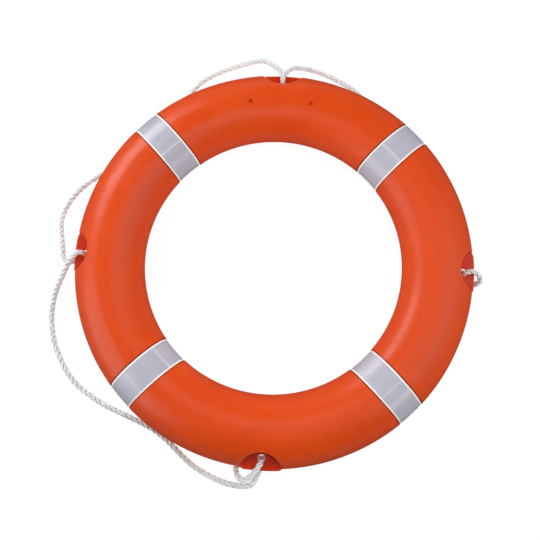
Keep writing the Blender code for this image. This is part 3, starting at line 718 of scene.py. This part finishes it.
def columns():
    """Columns of the skin for one quarter turn: azimuth at a radius, depth of band and strength of
    painted shade.

    The quarter runs from the middle of one pocket to that of the next, with a tape halfway.
    """
    def radial(azimuth):
        return lambda radius: azimuth

    def beside_tape(offset):
        return lambda radius: QUARTER / 2 + degrees(asin(offset / radius))

    def part_way(first, second, share):
        return lambda radius: lerp(first(radius), second(radius), share)

    half = PATCH_ANGLE
    edge = TAPE_WIDTH / 2
    found = [(radial(half * i / PATCH_STEPS), 0.0, 0.0) for i in range(PATCH_STEPS + 1)]
    near = beside_tape(-edge - BAND_WALL[-1][0])
    far = beside_tape(edge + BAND_WALL[-1][0])
    for i in range(1, PLAIN_STEPS):
        found.append((part_way(radial(half), near, i / PLAIN_STEPS), 0.0, 0.0))
    for beyond, depth, band_wall_shade in reversed(BAND_WALL):
        found.append((beside_tape(-edge - beyond), depth, band_wall_shade))
    inner = edge + BAND_WALL[0][0]
    for i in range(1, BAND_STEPS):
        found.append((beside_tape(lerp(-inner, inner, i / BAND_STEPS)), 1.0, 1.0))
    for beyond, depth, band_wall_shade in BAND_WALL:
        found.append((beside_tape(edge + beyond), depth, band_wall_shade))
    for i in range(1, PLAIN_STEPS):
        found.append((part_way(far, radial(QUARTER - half), i / PLAIN_STEPS), 0.0, 0.0))
    found += [(radial(QUARTER - half + half * i / PATCH_STEPS), 0.0, 0.0) for i in range(PATCH_STEPS)]
    return found


def pocket_point(turn, distance):
    """Radius and azimuth, from the pocket's own, of a point seen from the pocket's axis."""
    x = distance * sin(turn)
    y = POCKET_CENTRE - distance * cos(turn)
    return hypot(x, y), degrees(atan2(x, y))


def pocket_rim():
    """Directions of the points of a pocket's rim, tip to tip, evenly spaced along the surface."""
    turns = [POCKET_TIP * i / RIM_SAMPLES for i in range(RIM_SAMPLES + 1)]
    points = []
    for turn in turns:
        radius, azimuth = pocket_point(turn, POCKET_RADIUS)
        points.append(at(radius, azimuth, surface_height(radius)))
    lengths = walk(points)
    count = SECTION_STEPS + PATCH_STEPS
    half = []
    for i in range(count + 1):
        want = lengths[-1] * i / count
        reached = max(j for j, length in enumerate(lengths) if length <= want + TINY_LENGTH)
        half.append(turns[reached])
    half[-1] = POCKET_TIP
    return list(reversed(half)) + [-turn for turn in half[1:]]


def pocket_profile(turn):
    """Wall of the pocket in one direction from its axis, from the shell's surface to the web.

    Distances from the pocket's axis, heights above the mid-plane and how near each is to the rim.
    """
    wall = POCKET_RADIUS
    rim_radius, _ = pocket_point(turn, wall)
    further, _ = pocket_point(turn, wall + POCKET_RIM_ROUND)
    rim_height = surface_height(rim_radius)
    slope = atan2(surface_height(further) - rim_height, POCKET_RIM_ROUND)
    depth = rim_height - HALF_WEB
    size = min(POCKET_RIM_ROUND, depth * RIM_SHARE)
    from_tip = POCKET_RADIUS * (POCKET_TIP - abs(turn))
    foot = min(POCKET_FLOOR_ROUND, depth * FOOT_SHARE, from_tip * TIP_SHARE)
    draft = POCKET_DRAFT * min(1.0, depth / HALF_HEIGHT * 2)
    centre_x = wall + size
    centre_z = rim_height + size * tan(slope) - size / cos(slope)
    points = []
    for i in range(RIM_STEPS + 1):
        share = i / RIM_STEPS
        angle = lerp(pi / 2 + slope, pi, share)
        points.append([centre_x + size * cos(angle), centre_z + size * sin(angle),
                       sin(pi * share) ** 2])
    edge_radius, _ = pocket_point(turn, points[0][0])
    points[0][1] = surface_height(edge_radius)
    for i in range(1, WALL_STEPS + 1):
        share = i / (WALL_STEPS + 1)
        points.append([wall - draft * share, lerp(centre_z, HALF_WEB + foot, share), 0.0])
    for i in range(FOOT_STEPS + 1):
        angle = pi / 2 * i / FOOT_STEPS
        points.append([wall - draft - foot * (1 - cos(angle)),
                       HALF_WEB + foot * (1 - sin(angle)), 0.0])
    return points


def web_edge_places(tip):
    """Azimuths along the web's outer edge between the pocket's tips, and how fully it stands out."""
    places = []
    for i in range(1, WEB_EDGE_STEPS):
        share = cos(pi * i / WEB_EDGE_STEPS)
        places.append((tip * share, smooth(1.0, WEB_FULL_FROM, abs(share))))
    return places


def web_edge_point(azimuth, share, height):
    """Point of the web's outer edge, rounded towards its two faces."""
    recess = WEB_EDGE_ROUND * share * (1 - sqrt(max(0.0, 1 - (height / HALF_WEB) ** 2)))
    edge = MID_RADIUS + HALF_WIDTH * cos(asin(height / ELLIPSE_HEIGHT))
    return at(edge + WEB_PROUD * share - recess + flash(height), azimuth, height)


class Skin:
    """Outer surface of the shell as one closed mesh with its pockets, webs, holes and tape bands."""

    def __init__(self):
        self.bm = bmesh.new()
        names = ("band_wall_shade", "rim", "pocket")
        layers = self.bm.verts.layers.float
        for name in names:
            layers.new(name)
        self.marks = [layers[name] for name in names]
        self.rows = section_rows()
        self.quarter = columns()
        self.count = len(self.quarter) * POCKET_COUNT
        self.grid = {}
        self.azimuths = {}
        self.add_tube()
        turns = pocket_rim()
        for pocket in range(POCKET_COUNT):
            self.add_pocket(pocket, turns)

    def vertex(self, place, *shares):
        """A vertex with its painted shade in a band's wall, how near to a rim and how deep in a pocket,
        else 0.
        """
        made = self.bm.verts.new(place)
        for mark, share in zip(self.marks, shares):
            made[mark] = share
        return made

    def quads(self, first, second):
        """Faces between two lines of as many vertices, which may share some."""
        for a, b, c, d in zip(first, first[1:], second[1:], second):
            corners = list(dict.fromkeys((a, b, c, d)))
            if len(corners) > 2:
                self.bm.faces.new(corners)

    def bands(self, first, second):
        """Faces between two closed rings."""
        self.quads(first + first[:1], second + second[:1])

    def add_tube(self):
        row_count = len(self.rows)
        per_quarter = len(self.quarter)
        for c in range(self.count):
            azimuth_at, depth, band_wall_shade = self.quarter[c % per_quarter]
            pocket_side = min(c % per_quarter, per_quarter - c % per_quarter)
            for r, angle in enumerate(self.rows):
                inset = TAPE_BAND_DEPTH * depth
                radius, _ = section(angle, inset)
                azimuth = QUARTER * (c // per_quarter) + azimuth_at(radius)
                self.azimuths[c, r] = azimuth
                inside = pocket_side < PATCH_STEPS and min(r, row_count - r) < LAND_ROW
                if not inside:
                    self.grid[c, r] = self.vertex(skin_point(angle, azimuth, inset, 1 - depth), band_wall_shade)
        for c in range(self.count):
            after = (c + 1) % self.count
            for r in range(row_count):
                above = (r + 1) % row_count
                corners = [(c, r), (after, r), (after, above), (c, above)]
                if all(corner in self.grid for corner in corners):
                    self.bm.faces.new([self.grid[corner] for corner in corners])

    def add_pocket(self, pocket, turns):
        centre = len(self.quarter) * pocket
        turn_to = QUARTER * pocket
        row_count = len(self.rows)
        plus = centre + PATCH_STEPS
        minus = (centre - PATCH_STEPS) % self.count
        _, tip = pocket_point(turns[0], POCKET_RADIUS)
        beyond = [lerp(PATCH_ANGLE, tip, j / BLEND_LAYERS) for j in range(1, BLEND_LAYERS + 1)]
        lips = web_edge_places(tip)
        strips = {0: self.edge_line(plus, minus, 0, beyond, lips, turn_to)}
        holes = []
        for side in (1, -1):
            rows = [(side * r) % row_count for r in range(LAND_ROW + 1)]
            boundary = [(plus, rows[r]) for r in range(EDGE_ROWS, LAND_ROW + 1)]
            boundary += [((centre + s) % self.count, rows[LAND_ROW])
                         for s in range(PATCH_STEPS - 1, -PATCH_STEPS, -1)]
            boundary += [(minus, rows[r]) for r in range(LAND_ROW, EDGE_ROWS - 1, -1)]
            layers = self.pocket_layers(boundary, turns, turn_to, side)
            for inner, outer in zip(layers[1:], layers):
                self.quads(outer, inner)
            for i in range(1, EDGE_ROWS):
                strips[side * i] = self.edge_line(plus, minus, side * i, beyond, lips, turn_to)
            lip = [self.vertex(web_edge_point(turn_to + azimuth, share, side * HALF_WEB),
                               0.0, EDGE_WEAR_AND_HIGHLIGHT * share, 1.0) for azimuth, share in lips]
            foot = layers[-1]
            near = [layer[0] for layer in layers[:BLEND_LAYERS]]
            far = [layer[-1] for layer in layers[:BLEND_LAYERS]]
            strips[side * EDGE_ROWS] = near + [foot[0]] + lip + [foot[-1]] + list(reversed(far))
            holes.append(self.add_floor(foot, lip, turn_to, side))
        for i in range(-EDGE_ROWS, EDGE_ROWS):
            self.quads(strips[i], strips[i + 1])
        self.bands(*holes)

    def edge_line(self, plus, minus, index, beyond, lips, turn_to):
        """Vertices along the outer edge of a pocket's patch at one of the edge rows."""
        height = copysign(EDGE_HEIGHTS[abs(index)], index)
        angle = asin(height / ELLIPSE_HEIGHT)
        row = index % len(self.rows)
        places = [skin_point(angle, turn_to + azimuth) for azimuth in beyond]
        places += [web_edge_point(turn_to + azimuth, share, height) for azimuth, share in lips]
        places += [skin_point(angle, turn_to - azimuth) for azimuth in reversed(beyond)]
        line = [self.vertex(place) for place in places]
        return [self.grid[plus, row]] + line + [self.grid[minus, row]]

    def pocket_layers(self, boundary, turns, turn_to, side):
        """Lines of vertices from the edge of a pocket's patch to the foot of its wall."""
        last = len(turns) - 1
        profile_count = RIM_STEPS + 1 + WALL_STEPS + FOOT_STEPS + 1
        layers = [[self.grid[corner] for corner in boundary]]
        layers += [[] for _ in range(BLEND_LAYERS - 1 + profile_count)]
        for k, turn in enumerate(turns):
            outer_angle = abs(self.rows[boundary[k][1]])
            outer_azimuth = relative(self.azimuths[boundary[k]], turn_to)
            at_tip = k in (0, last)
            if at_tip:
                radius, azimuth = pocket_point(turn, POCKET_RADIUS)
                profile = []
            else:
                profile = pocket_profile(turn)
                radius, azimuth = pocket_point(turn, profile[0][0])
            angle = WEB_ANGLE if at_tip else section_angle(radius)
            for j in range(1, BLEND_LAYERS):
                share = j / BLEND_LAYERS
                place = skin_point(side * lerp(outer_angle, angle, share),
                                   turn_to + lerp(outer_azimuth, azimuth, share))
                layers[j].append(self.vertex(place))
            if at_tip:
                tip = self.vertex(skin_point(side * WEB_ANGLE, turn_to + azimuth))
                for layer in layers[BLEND_LAYERS:]:
                    layer.append(tip)
            surface = skin_point(side * angle, turn_to + azimuth)
            sunk = hypot(surface.x, surface.y) - radius
            near_tip = smooth(POCKET_TIP_BLEND, 0.0, POCKET_RADIUS * (POCKET_TIP - abs(turn)))
            for layer, (distance, height, rim) in zip(layers[BLEND_LAYERS:], profile):
                radius, azimuth = pocket_point(turn, distance)
                wall_height = max(LEAST_DEPTH, profile[0][1] - HALF_WEB)
                near_rim = smooth(0.0, 1.0, (height - HALF_WEB) / wall_height)
                sink = at(radius, turn_to + azimuth, side * height)
                drop = (surface.z - HALF_HEIGHT) * side - profile[0][1]
                sink.z += side * drop * near_rim
                sink.xy *= 1 + sunk * max(near_rim, near_tip) / radius
                layer.append(self.vertex(sink, 0.0, rim, 1 - near_rim))
        return layers

    def add_floor(self, foot, lip, turn_to, side):
        """Flat of the web from the wall's foot to the rounded lip of the rope hole; its inmost ring."""
        loop = foot + list(reversed(lip))
        count = len(loop)
        turn = Matrix.Rotation(radians(-turn_to), 4, "Z")
        places = [turn @ v.co for v in loop]
        ring_radius = HOLE_DIAMETER / 2 + HOLE_LIP_ROUND
        directions = []
        for i, place in enumerate(places):
            across = place.y
            out = place.x - HOLE_CENTRE
            found = atan2(across, -out)
            if i >= len(foot) and found > 0:
                found -= 2 * pi
            even = 2 * pi * ((len(foot) - 1) / 2 - i) / count
            directions.append((found + even) / 2)
        back = turn.inverted()

        def hole_ring(radius, height):
            return [back @ Vector((HOLE_CENTRE - radius * cos(a), radius * sin(a),
                                   HALF_HEIGHT + side * height)) for a in directions]

        rim_places = hole_ring(ring_radius, HALF_WEB)
        previous = loop
        for j in range(1, FLOOR_LAYERS):
            line = []
            for vertex, place in zip(loop, rim_places):
                line.append(self.vertex(vertex.co.lerp(place, j / FLOOR_LAYERS), 0.0, 0.0, 1.0))
                line[-1].co.z = HALF_HEIGHT + side * HALF_WEB
            self.bands(previous, line)
            previous = line
        for i in range(HOLE_LIP_STEPS + 1):
            angle = pi / 2 * i / HOLE_LIP_STEPS
            radius = HOLE_DIAMETER / 2 + HOLE_LIP_ROUND * (1 - sin(angle))
            height = HALF_WEB - HOLE_LIP_ROUND * (1 - cos(angle))
            # Lighter paint along the lip: partly wear, partly a painted highlight on its round
            worn_and_highlit = LIP_WEAR_AND_HIGHLIGHT * sin(2 * angle)
            line = [self.vertex(place, 0.0, worn_and_highlit, 1.0) for place in hole_ring(radius, height)]
            self.bands(previous, line)
            previous = line
        return previous


def vent_places():
    return [VENT_AZIMUTH + VENT_SPREAD, VENT_AZIMUTH - VENT_SPREAD]


def cut_vents(shell):
    """Cuts the vents into the shell and applies the cuts."""
    depth = SHELL_WALL + FIT_GAP
    cutters = []
    for azimuth in vent_places():
        profile = [(VENT_DIAMETER / 2, -depth), (VENT_DIAMETER / 2, depth)]
        mesh = finished_mesh(turned(profile), "vent_cutter")
        cutter = add_object("vent_cutter", mesh)
        cutter.location = at(VENT_RADIUS, azimuth, HALF_HEIGHT)
        cut = shell.modifiers.new("vent", "BOOLEAN")
        cut.operation = "DIFFERENCE"
        cut.solver = "EXACT"
        cut.object = cutter
        cutters.append(cutter)
    seen = shell.evaluated_get(bpy.context.evaluated_depsgraph_get())
    mesh = bpy.data.meshes.new_from_object(seen)
    shell.modifiers.clear()
    shell.data = mesh
    mesh.name = "moulded_shell"
    mesh.set_sharp_from_angle(angle=radians(SHARP_ANGLE))
    for cutter in cutters:
        bpy.data.objects.remove(cutter, do_unlink=True)


def painted_vent_shade(tree, place, colour):
    """Colour made a little darker in a soft ring round each vent: painted shade of the vent holes."""
    for azimuth in vent_places():
        inputs = {0: place, 1: at(VENT_RADIUS, azimuth, HALF_HEIGHT)}
        away = add_node(tree, "ShaderNodeVectorMath", inputs, operation="DISTANCE").outputs["Value"]
        near = spread(tree, away, VENT_DIAMETER * 0.50, VENT_DIAMETER * 1.15, 0.75, 0.0)
        colour = mixed(tree, near, colour, (0.47, 0.020, 0.003))
    return colour


def shell_finish():
    finish, tree, shader = new_finish("shell_moulded_orange")
    place = place_of(tree)
    broad = spread(tree, noise_of(tree, place, 9.0, roughness=0.55), 0.35, 0.65)
    cloud = spread(tree, noise_of(tree, place, 34.0, 4.0, 0.6), 0.30, 0.70)
    speck = spread(tree, noise_of(tree, place, 420.0, 2.0), 0.62, 0.76)
    base = mixed(tree, broad, (0.695, 0.062, 0.0045), (0.740, 0.072, 0.0060))
    clouded = mixed(tree, cloud, base, (0.660, 0.055, 0.0040), 0.55)
    specked = mixed(tree, speck, clouded, (0.80, 0.11, 0.022), 0.22)
    shaded = painted_vent_shade(tree, place, specked)
    # Pocket walls and floors painted darker red: painted shade in the recesses
    sunk = mixed(tree, mark_of(tree, "pocket"), shaded, (0.60, 0.026, 0.004), 0.85)
    # Rims, web edges and hole lips painted lighter: partly wear, partly a painted highlight on their
    # rounds
    worn_and_highlit = mixed(tree, mark_of(tree, "rim"), sunk, (0.83, 0.15, 0.035), 0.45)
    # Walls of the tape bands painted near black-red: painted shade in the recess beside each tape
    band_wall_shaded = mixed(tree, mark_of(tree, "band_wall_shade"), worn_and_highlit, (0.23, 0.012, 0.004), 0.92)
    scuffs = spread(tree, noise_of(tree, place, 55.0, 5.0, 0.65), 0.35, 0.70, 0.29, 0.42)
    feed(tree, shader, {"Base Color": band_wall_shaded, "Roughness": scuffs, "Specular IOR Level": 0.42})
    pebbled = noise_of(tree, place, 190.0)
    dimpled = noise_of(tree, place, 48.0, 2.0)
    grain = noise_of(tree, place, 1500.0, 2.0)
    bumped(tree, shader, [(dimpled, 0.0011, 0.35), (pebbled, 0.00022, 0.35), (grain, 0.00004, 0.35)])
    return finish


def add_shell():
    mesh = finished_mesh(Skin().bm, "moulded_shell")
    cut_vents(add_piece("moulded_shell", mesh, shell_finish(), "shell"))


# Vent plugs

def plug_finish():
    finish, tree, shader = new_finish("vent_plug_red")
    place = place_of(tree)
    tint = varied(tree, place, 500.0, 3.0, (0.46, 0.020, 0.004), (0.38, 0.015, 0.003))
    feed(tree, shader, {"Base Color": tint, "Roughness": 0.5, "Specular IOR Level": 0.25})
    bumped(tree, shader, [(noise_of(tree, place, 1800.0, 2.0), 0.00008, 0.5)])
    return finish


def plug_profile():
    """A plug's outline from its foot to the dimple in its face, below the land's height."""
    radius = VENT_DIAMETER / 2 - FIT_GAP
    top = -PLUG_RECESS
    profile = [(radius * 0.8, -SHELL_WALL), (radius, -SHELL_WALL * 0.8)]
    for i in range(6):
        turn = pi / 2 * i / 5
        profile.append((radius - PLUG_ROUND * (1 - cos(turn)),
                        top - PLUG_ROUND * (1 - sin(turn))))
    dimple = ((0.55, 0.0), (0.45, 0.00025), (0.12, 0.00030))
    return profile + [(radius * share, top - depth) for share, depth in dimple]


def add_vent_plugs():
    finish = plug_finish()
    for number, azimuth in enumerate(vent_places(), 1):
        bm = turned(plug_profile())
        bm.transform(Matrix.Translation(at(VENT_RADIUS, azimuth, HALF_HEIGHT)))
        name = "filler_plug_%d" % number
        add_piece(name, finished_mesh(bm, name), finish, "vent_plug_%d" % number)


# Tapes

def tape_stations():
    """Section angles round the tube from the seam on the underside and back to it."""
    gap = TAPE_SEAM / 2 / HALF_WIDTH
    start = -pi / 2 + gap
    end = pi * 1.5 - gap
    return [lerp(start, end, i / TAPE_STATIONS) for i in range(TAPE_STATIONS + 1)]


def tape_offsets():
    """Places across a tape: the rounded edge, the bright border and the field between."""
    half = TAPE_WIDTH / 2
    inside = half - TAPE_BORDER
    edge = [half, half - 0.0002, half - 0.0006, inside + 0.0004, inside, inside - 0.0005]
    field = [lerp(edge[-1], -edge[-1], i / 8) for i in range(1, 8)]
    return [-x for x in edge] + list(reversed(field)) + list(reversed(edge))


def crease_at(name, angle):
    """Strength of a tape's creases at a section angle, which show only on the front half."""
    if not 0.0 < angle < pi:
        return 0.0
    share = (1 - cos(angle)) / 2
    total = 0.0
    for place, half_width, strength in TAPE_CREASES[name]:
        away = (share - place) * 2 * HALF_WIDTH
        total += strength * exp(-(away / half_width) ** 2)
    return min(1.0, total)


def tape_sheet(bm, name, centre, under):
    """One side of a tape, as lines of vertices across it that are marked with its border and creases."""
    border = bm.verts.layers.float["border"]
    crease = bm.verts.layers.float["crease"]
    fading = [TAPE_BORDER + change for change in BORDER_SOFTNESS]
    sheet = []
    for angle in tape_stations():
        folded = crease_at(name, angle)
        line = []
        for offset in tape_offsets():
            from_edge = TAPE_WIDTH / 2 - abs(offset)
            edged = 1 - smooth(*fading, from_edge)
            inset = TAPE_SET_BACK + TAPE_THICKNESS if under else TAPE_SET_BACK
            if not under:
                rounding = max(0.0, 1 - from_edge / TAPE_EDGE_ROUND)
                inset += TAPE_EDGE_DROP * rounding ** 2 + BORDER_SUNK * edged - CREASE_RISE * folded
            radius, height = section(angle, inset)
            azimuth = centre + degrees(asin(offset / radius))
            vertex = bm.verts.new(at(radius, azimuth, height))
            vertex[border] = edged
            vertex[crease] = folded
            line.append(vertex)
        sheet.append(line)
    return sheet


def tape_mesh(name, centre):
    """A tape as a thin closed strip, whose UVs are its lengths along and across."""
    bm = bmesh.new()
    for mark in ("border", "crease"):
        bm.verts.layers.float.new(mark)
    uv = bm.loops.layers.uv.new("tape")
    walked = walk([Vector(section(angle)) for angle in tape_stations()])
    offsets = tape_offsets()
    top = tape_sheet(bm, name, centre, False)
    below = tape_sheet(bm, name, centre, True)
    last = len(offsets) - 1
    for i in range(TAPE_STATIONS):
        for sheet in (top, below):
            for j in range(last):
                face = bm.faces.new([sheet[i][j], sheet[i][j + 1], sheet[i + 1][j + 1], sheet[i + 1][j]])
                places = ((i, j), (i, j + 1), (i + 1, j + 1), (i + 1, j))
                for loop, (a, b) in zip(face.loops, places):
                    loop[uv].uv = (walked[a], offsets[b])
        for j in (0, last):
            bm.faces.new([top[i][j], top[i + 1][j], below[i + 1][j], below[i][j]])
    for end in (0, -1):
        for j in range(last):
            bm.faces.new([top[end][j], top[end][j + 1], below[end][j + 1], below[end][j]])
    return finished_mesh(bm, name, 50.0)


def tape_finish():
    finish, tree, shader = new_finish("reflective_tape_silver")
    flat = add_node(tree, "ShaderNodeUVMap", uv_map="tape").outputs[0]
    place = place_of(tree)
    border = mark_of(tree, "border")
    cells = add_node(tree, "ShaderNodeTexVoronoi", {"Vector": flat, "Scale": 420.0, "Randomness": 0.0},
                     feature="DISTANCE_TO_EDGE").outputs[0]
    wall = spread(tree, cells, 0.02, 0.10, 1.0, 0.0)
    cloud = spread(tree, noise_of(tree, place, 26.0, 3.0), 0.32, 0.68)
    silver = mixed(tree, cloud, (0.430, 0.425, 0.508), (0.480, 0.475, 0.548))
    celled = mixed(tree, wall, silver, (0.64, 0.64, 0.70), 0.22)
    # Creases painted lighter: a painted highlight along each crease, on top of its slight rise
    folded = mixed(tree, mark_of(tree, "crease"), celled, (0.70, 0.69, 0.76), 0.75)
    edged = mixed(tree, border, folded, (0.98, 0.945, 0.885))
    rough = mixed(tree, border, (0.34, 0.34, 0.34), (0.50, 0.50, 0.50))
    feed(tree, shader, {"Base Color": edged, "Roughness": rough, "Specular IOR Level": 0.45,
                        "Coat Weight": 0.25, "Coat Roughness": 0.22})
    ripple = noise_of(tree, place, 70.0, 2.0)
    bumped(tree, shader, [(ripple, 0.0006, 0.3), (wall, 0.00005, 0.5)])
    return finish


def add_tapes():
    finish = tape_finish()
    for number, name in enumerate(TAPE_CREASES):
        mesh = tape_mesh(name, QUARTER * (number + 0.5))
        add_piece("reflective_" + name, mesh, finish, name)


# Foam core, which shows only where the shell is opened

def dress_foam():
    finish, tree, shader = new_finish("foam_cream")
    place = place_of(tree)
    cells = add_node(tree, "ShaderNodeTexVoronoi", {"Vector": place, "Scale": 700.0}).outputs[0]
    tint = varied(tree, place, 30.0, 3.0, (0.78, 0.70, 0.50), (0.70, 0.61, 0.42))
    feed(tree, shader, {"Base Color": tint, "Roughness": 0.92})
    bumped(tree, shader, [(cells, 0.0006, 0.7)])
    foam = NODES["foam_core"]
    foam.data.materials.clear()
    foam.data.materials.append(finish)


# Floor, light and world

def stage_item(name, bm, reflectance, glow):
    """White surface that glows and is never reflected in the ring."""
    mesh = bpy.data.meshes.new(name)
    bm.to_mesh(mesh)
    bm.free()
    finish, tree, shader = new_finish(name + "_pale")
    feed(tree, shader, {"Base Color": (reflectance, reflectance, reflectance, 1.0), "Roughness": 0.85,
                        "Specular IOR Level": 0.2, "Emission Color": (1.0, 1.0, 1.0, 1.0),
                        "Emission Strength": glow})
    mesh.materials.append(finish)
    item = add_object(name, mesh)
    item.visible_glossy = False
    return item


def add_floor():
    bm = bmesh.new()
    bmesh.ops.create_grid(bm, x_segments=2, y_segments=2, size=FLOOR_SIZE)
    floor = stage_item("floor", bm, FLOOR_REFLECTANCE, FLOOR_GLOW)
    floor.location.z = -FLOOR_GAP


def add_backdrop():
    """Pale dome round the floor, which only the camera sees and which lights nothing."""
    bm = bmesh.new()
    bmesh.ops.create_uvsphere(bm, u_segments=48, v_segments=24, radius=BACKDROP_RADIUS)
    dome = stage_item("backdrop", bm, 0.0, BACKDROP_GLOW)
    dome.visible_diffuse = False
    dome.visible_transmission = False
    dome.visible_shadow = False


def add_lamp(name, azimuth, elevation, distance, width, height, power, shows):
    """Soft oval light aimed at the ring from an azimuth and an elevation in degrees."""
    lamp = bpy.data.lights.new(name, "AREA")
    lamp.shape = "ELLIPSE"
    lamp.size = width
    lamp.size_y = height
    lamp.energy = power
    item = add_object(name, lamp)
    turn = radians(azimuth)
    rise = radians(elevation)
    way = Vector((cos(turn) * cos(rise), sin(turn) * cos(rise), sin(rise)))
    item.location = Vector((0.0, 0.0, HALF_HEIGHT)) + way * distance
    item.rotation_euler = way.to_track_quat("Z", "Y").to_euler()
    item.visible_camera = False
    item.visible_glossy = shows


def add_light():
    """Lamps, and a surround that is dim below the horizon and dimmer on the bottom pocket's side."""
    world = bpy.data.worlds.new("studio")
    world.use_nodes = True
    tree = world.node_tree
    way = add_node(tree, "ShaderNodeTexCoord").outputs["Generated"]
    _, along, up = add_node(tree, "ShaderNodeSeparateXYZ", {0: way}).outputs
    above = spread(tree, up, 0.04, 0.40, HORIZON_LIGHT, WORLD_LIGHT)
    below = spread(tree, up, -0.06, 0.0, 0.12, 1.0)
    top_side = spread(tree, along, -0.7, 0.5, 0.30, 1.0)
    strength = maths(tree, "MULTIPLY", maths(tree, "MULTIPLY", above, below), top_side)
    feed(tree, tree.nodes["Background"], {"Strength": strength, "Color": (1.0, 1.0, 1.0, 1.0)})
    bpy.context.scene.world = world
    for lamp in LAMPS:
        add_lamp(*lamp)
    bpy.context.scene.view_settings.view_transform = "Standard"


add_camera()
add_grab_line(add_sleeve())
add_shell()
add_vent_plugs()
add_tapes()
dress_foam()
add_floor()
add_backdrop()
add_light()
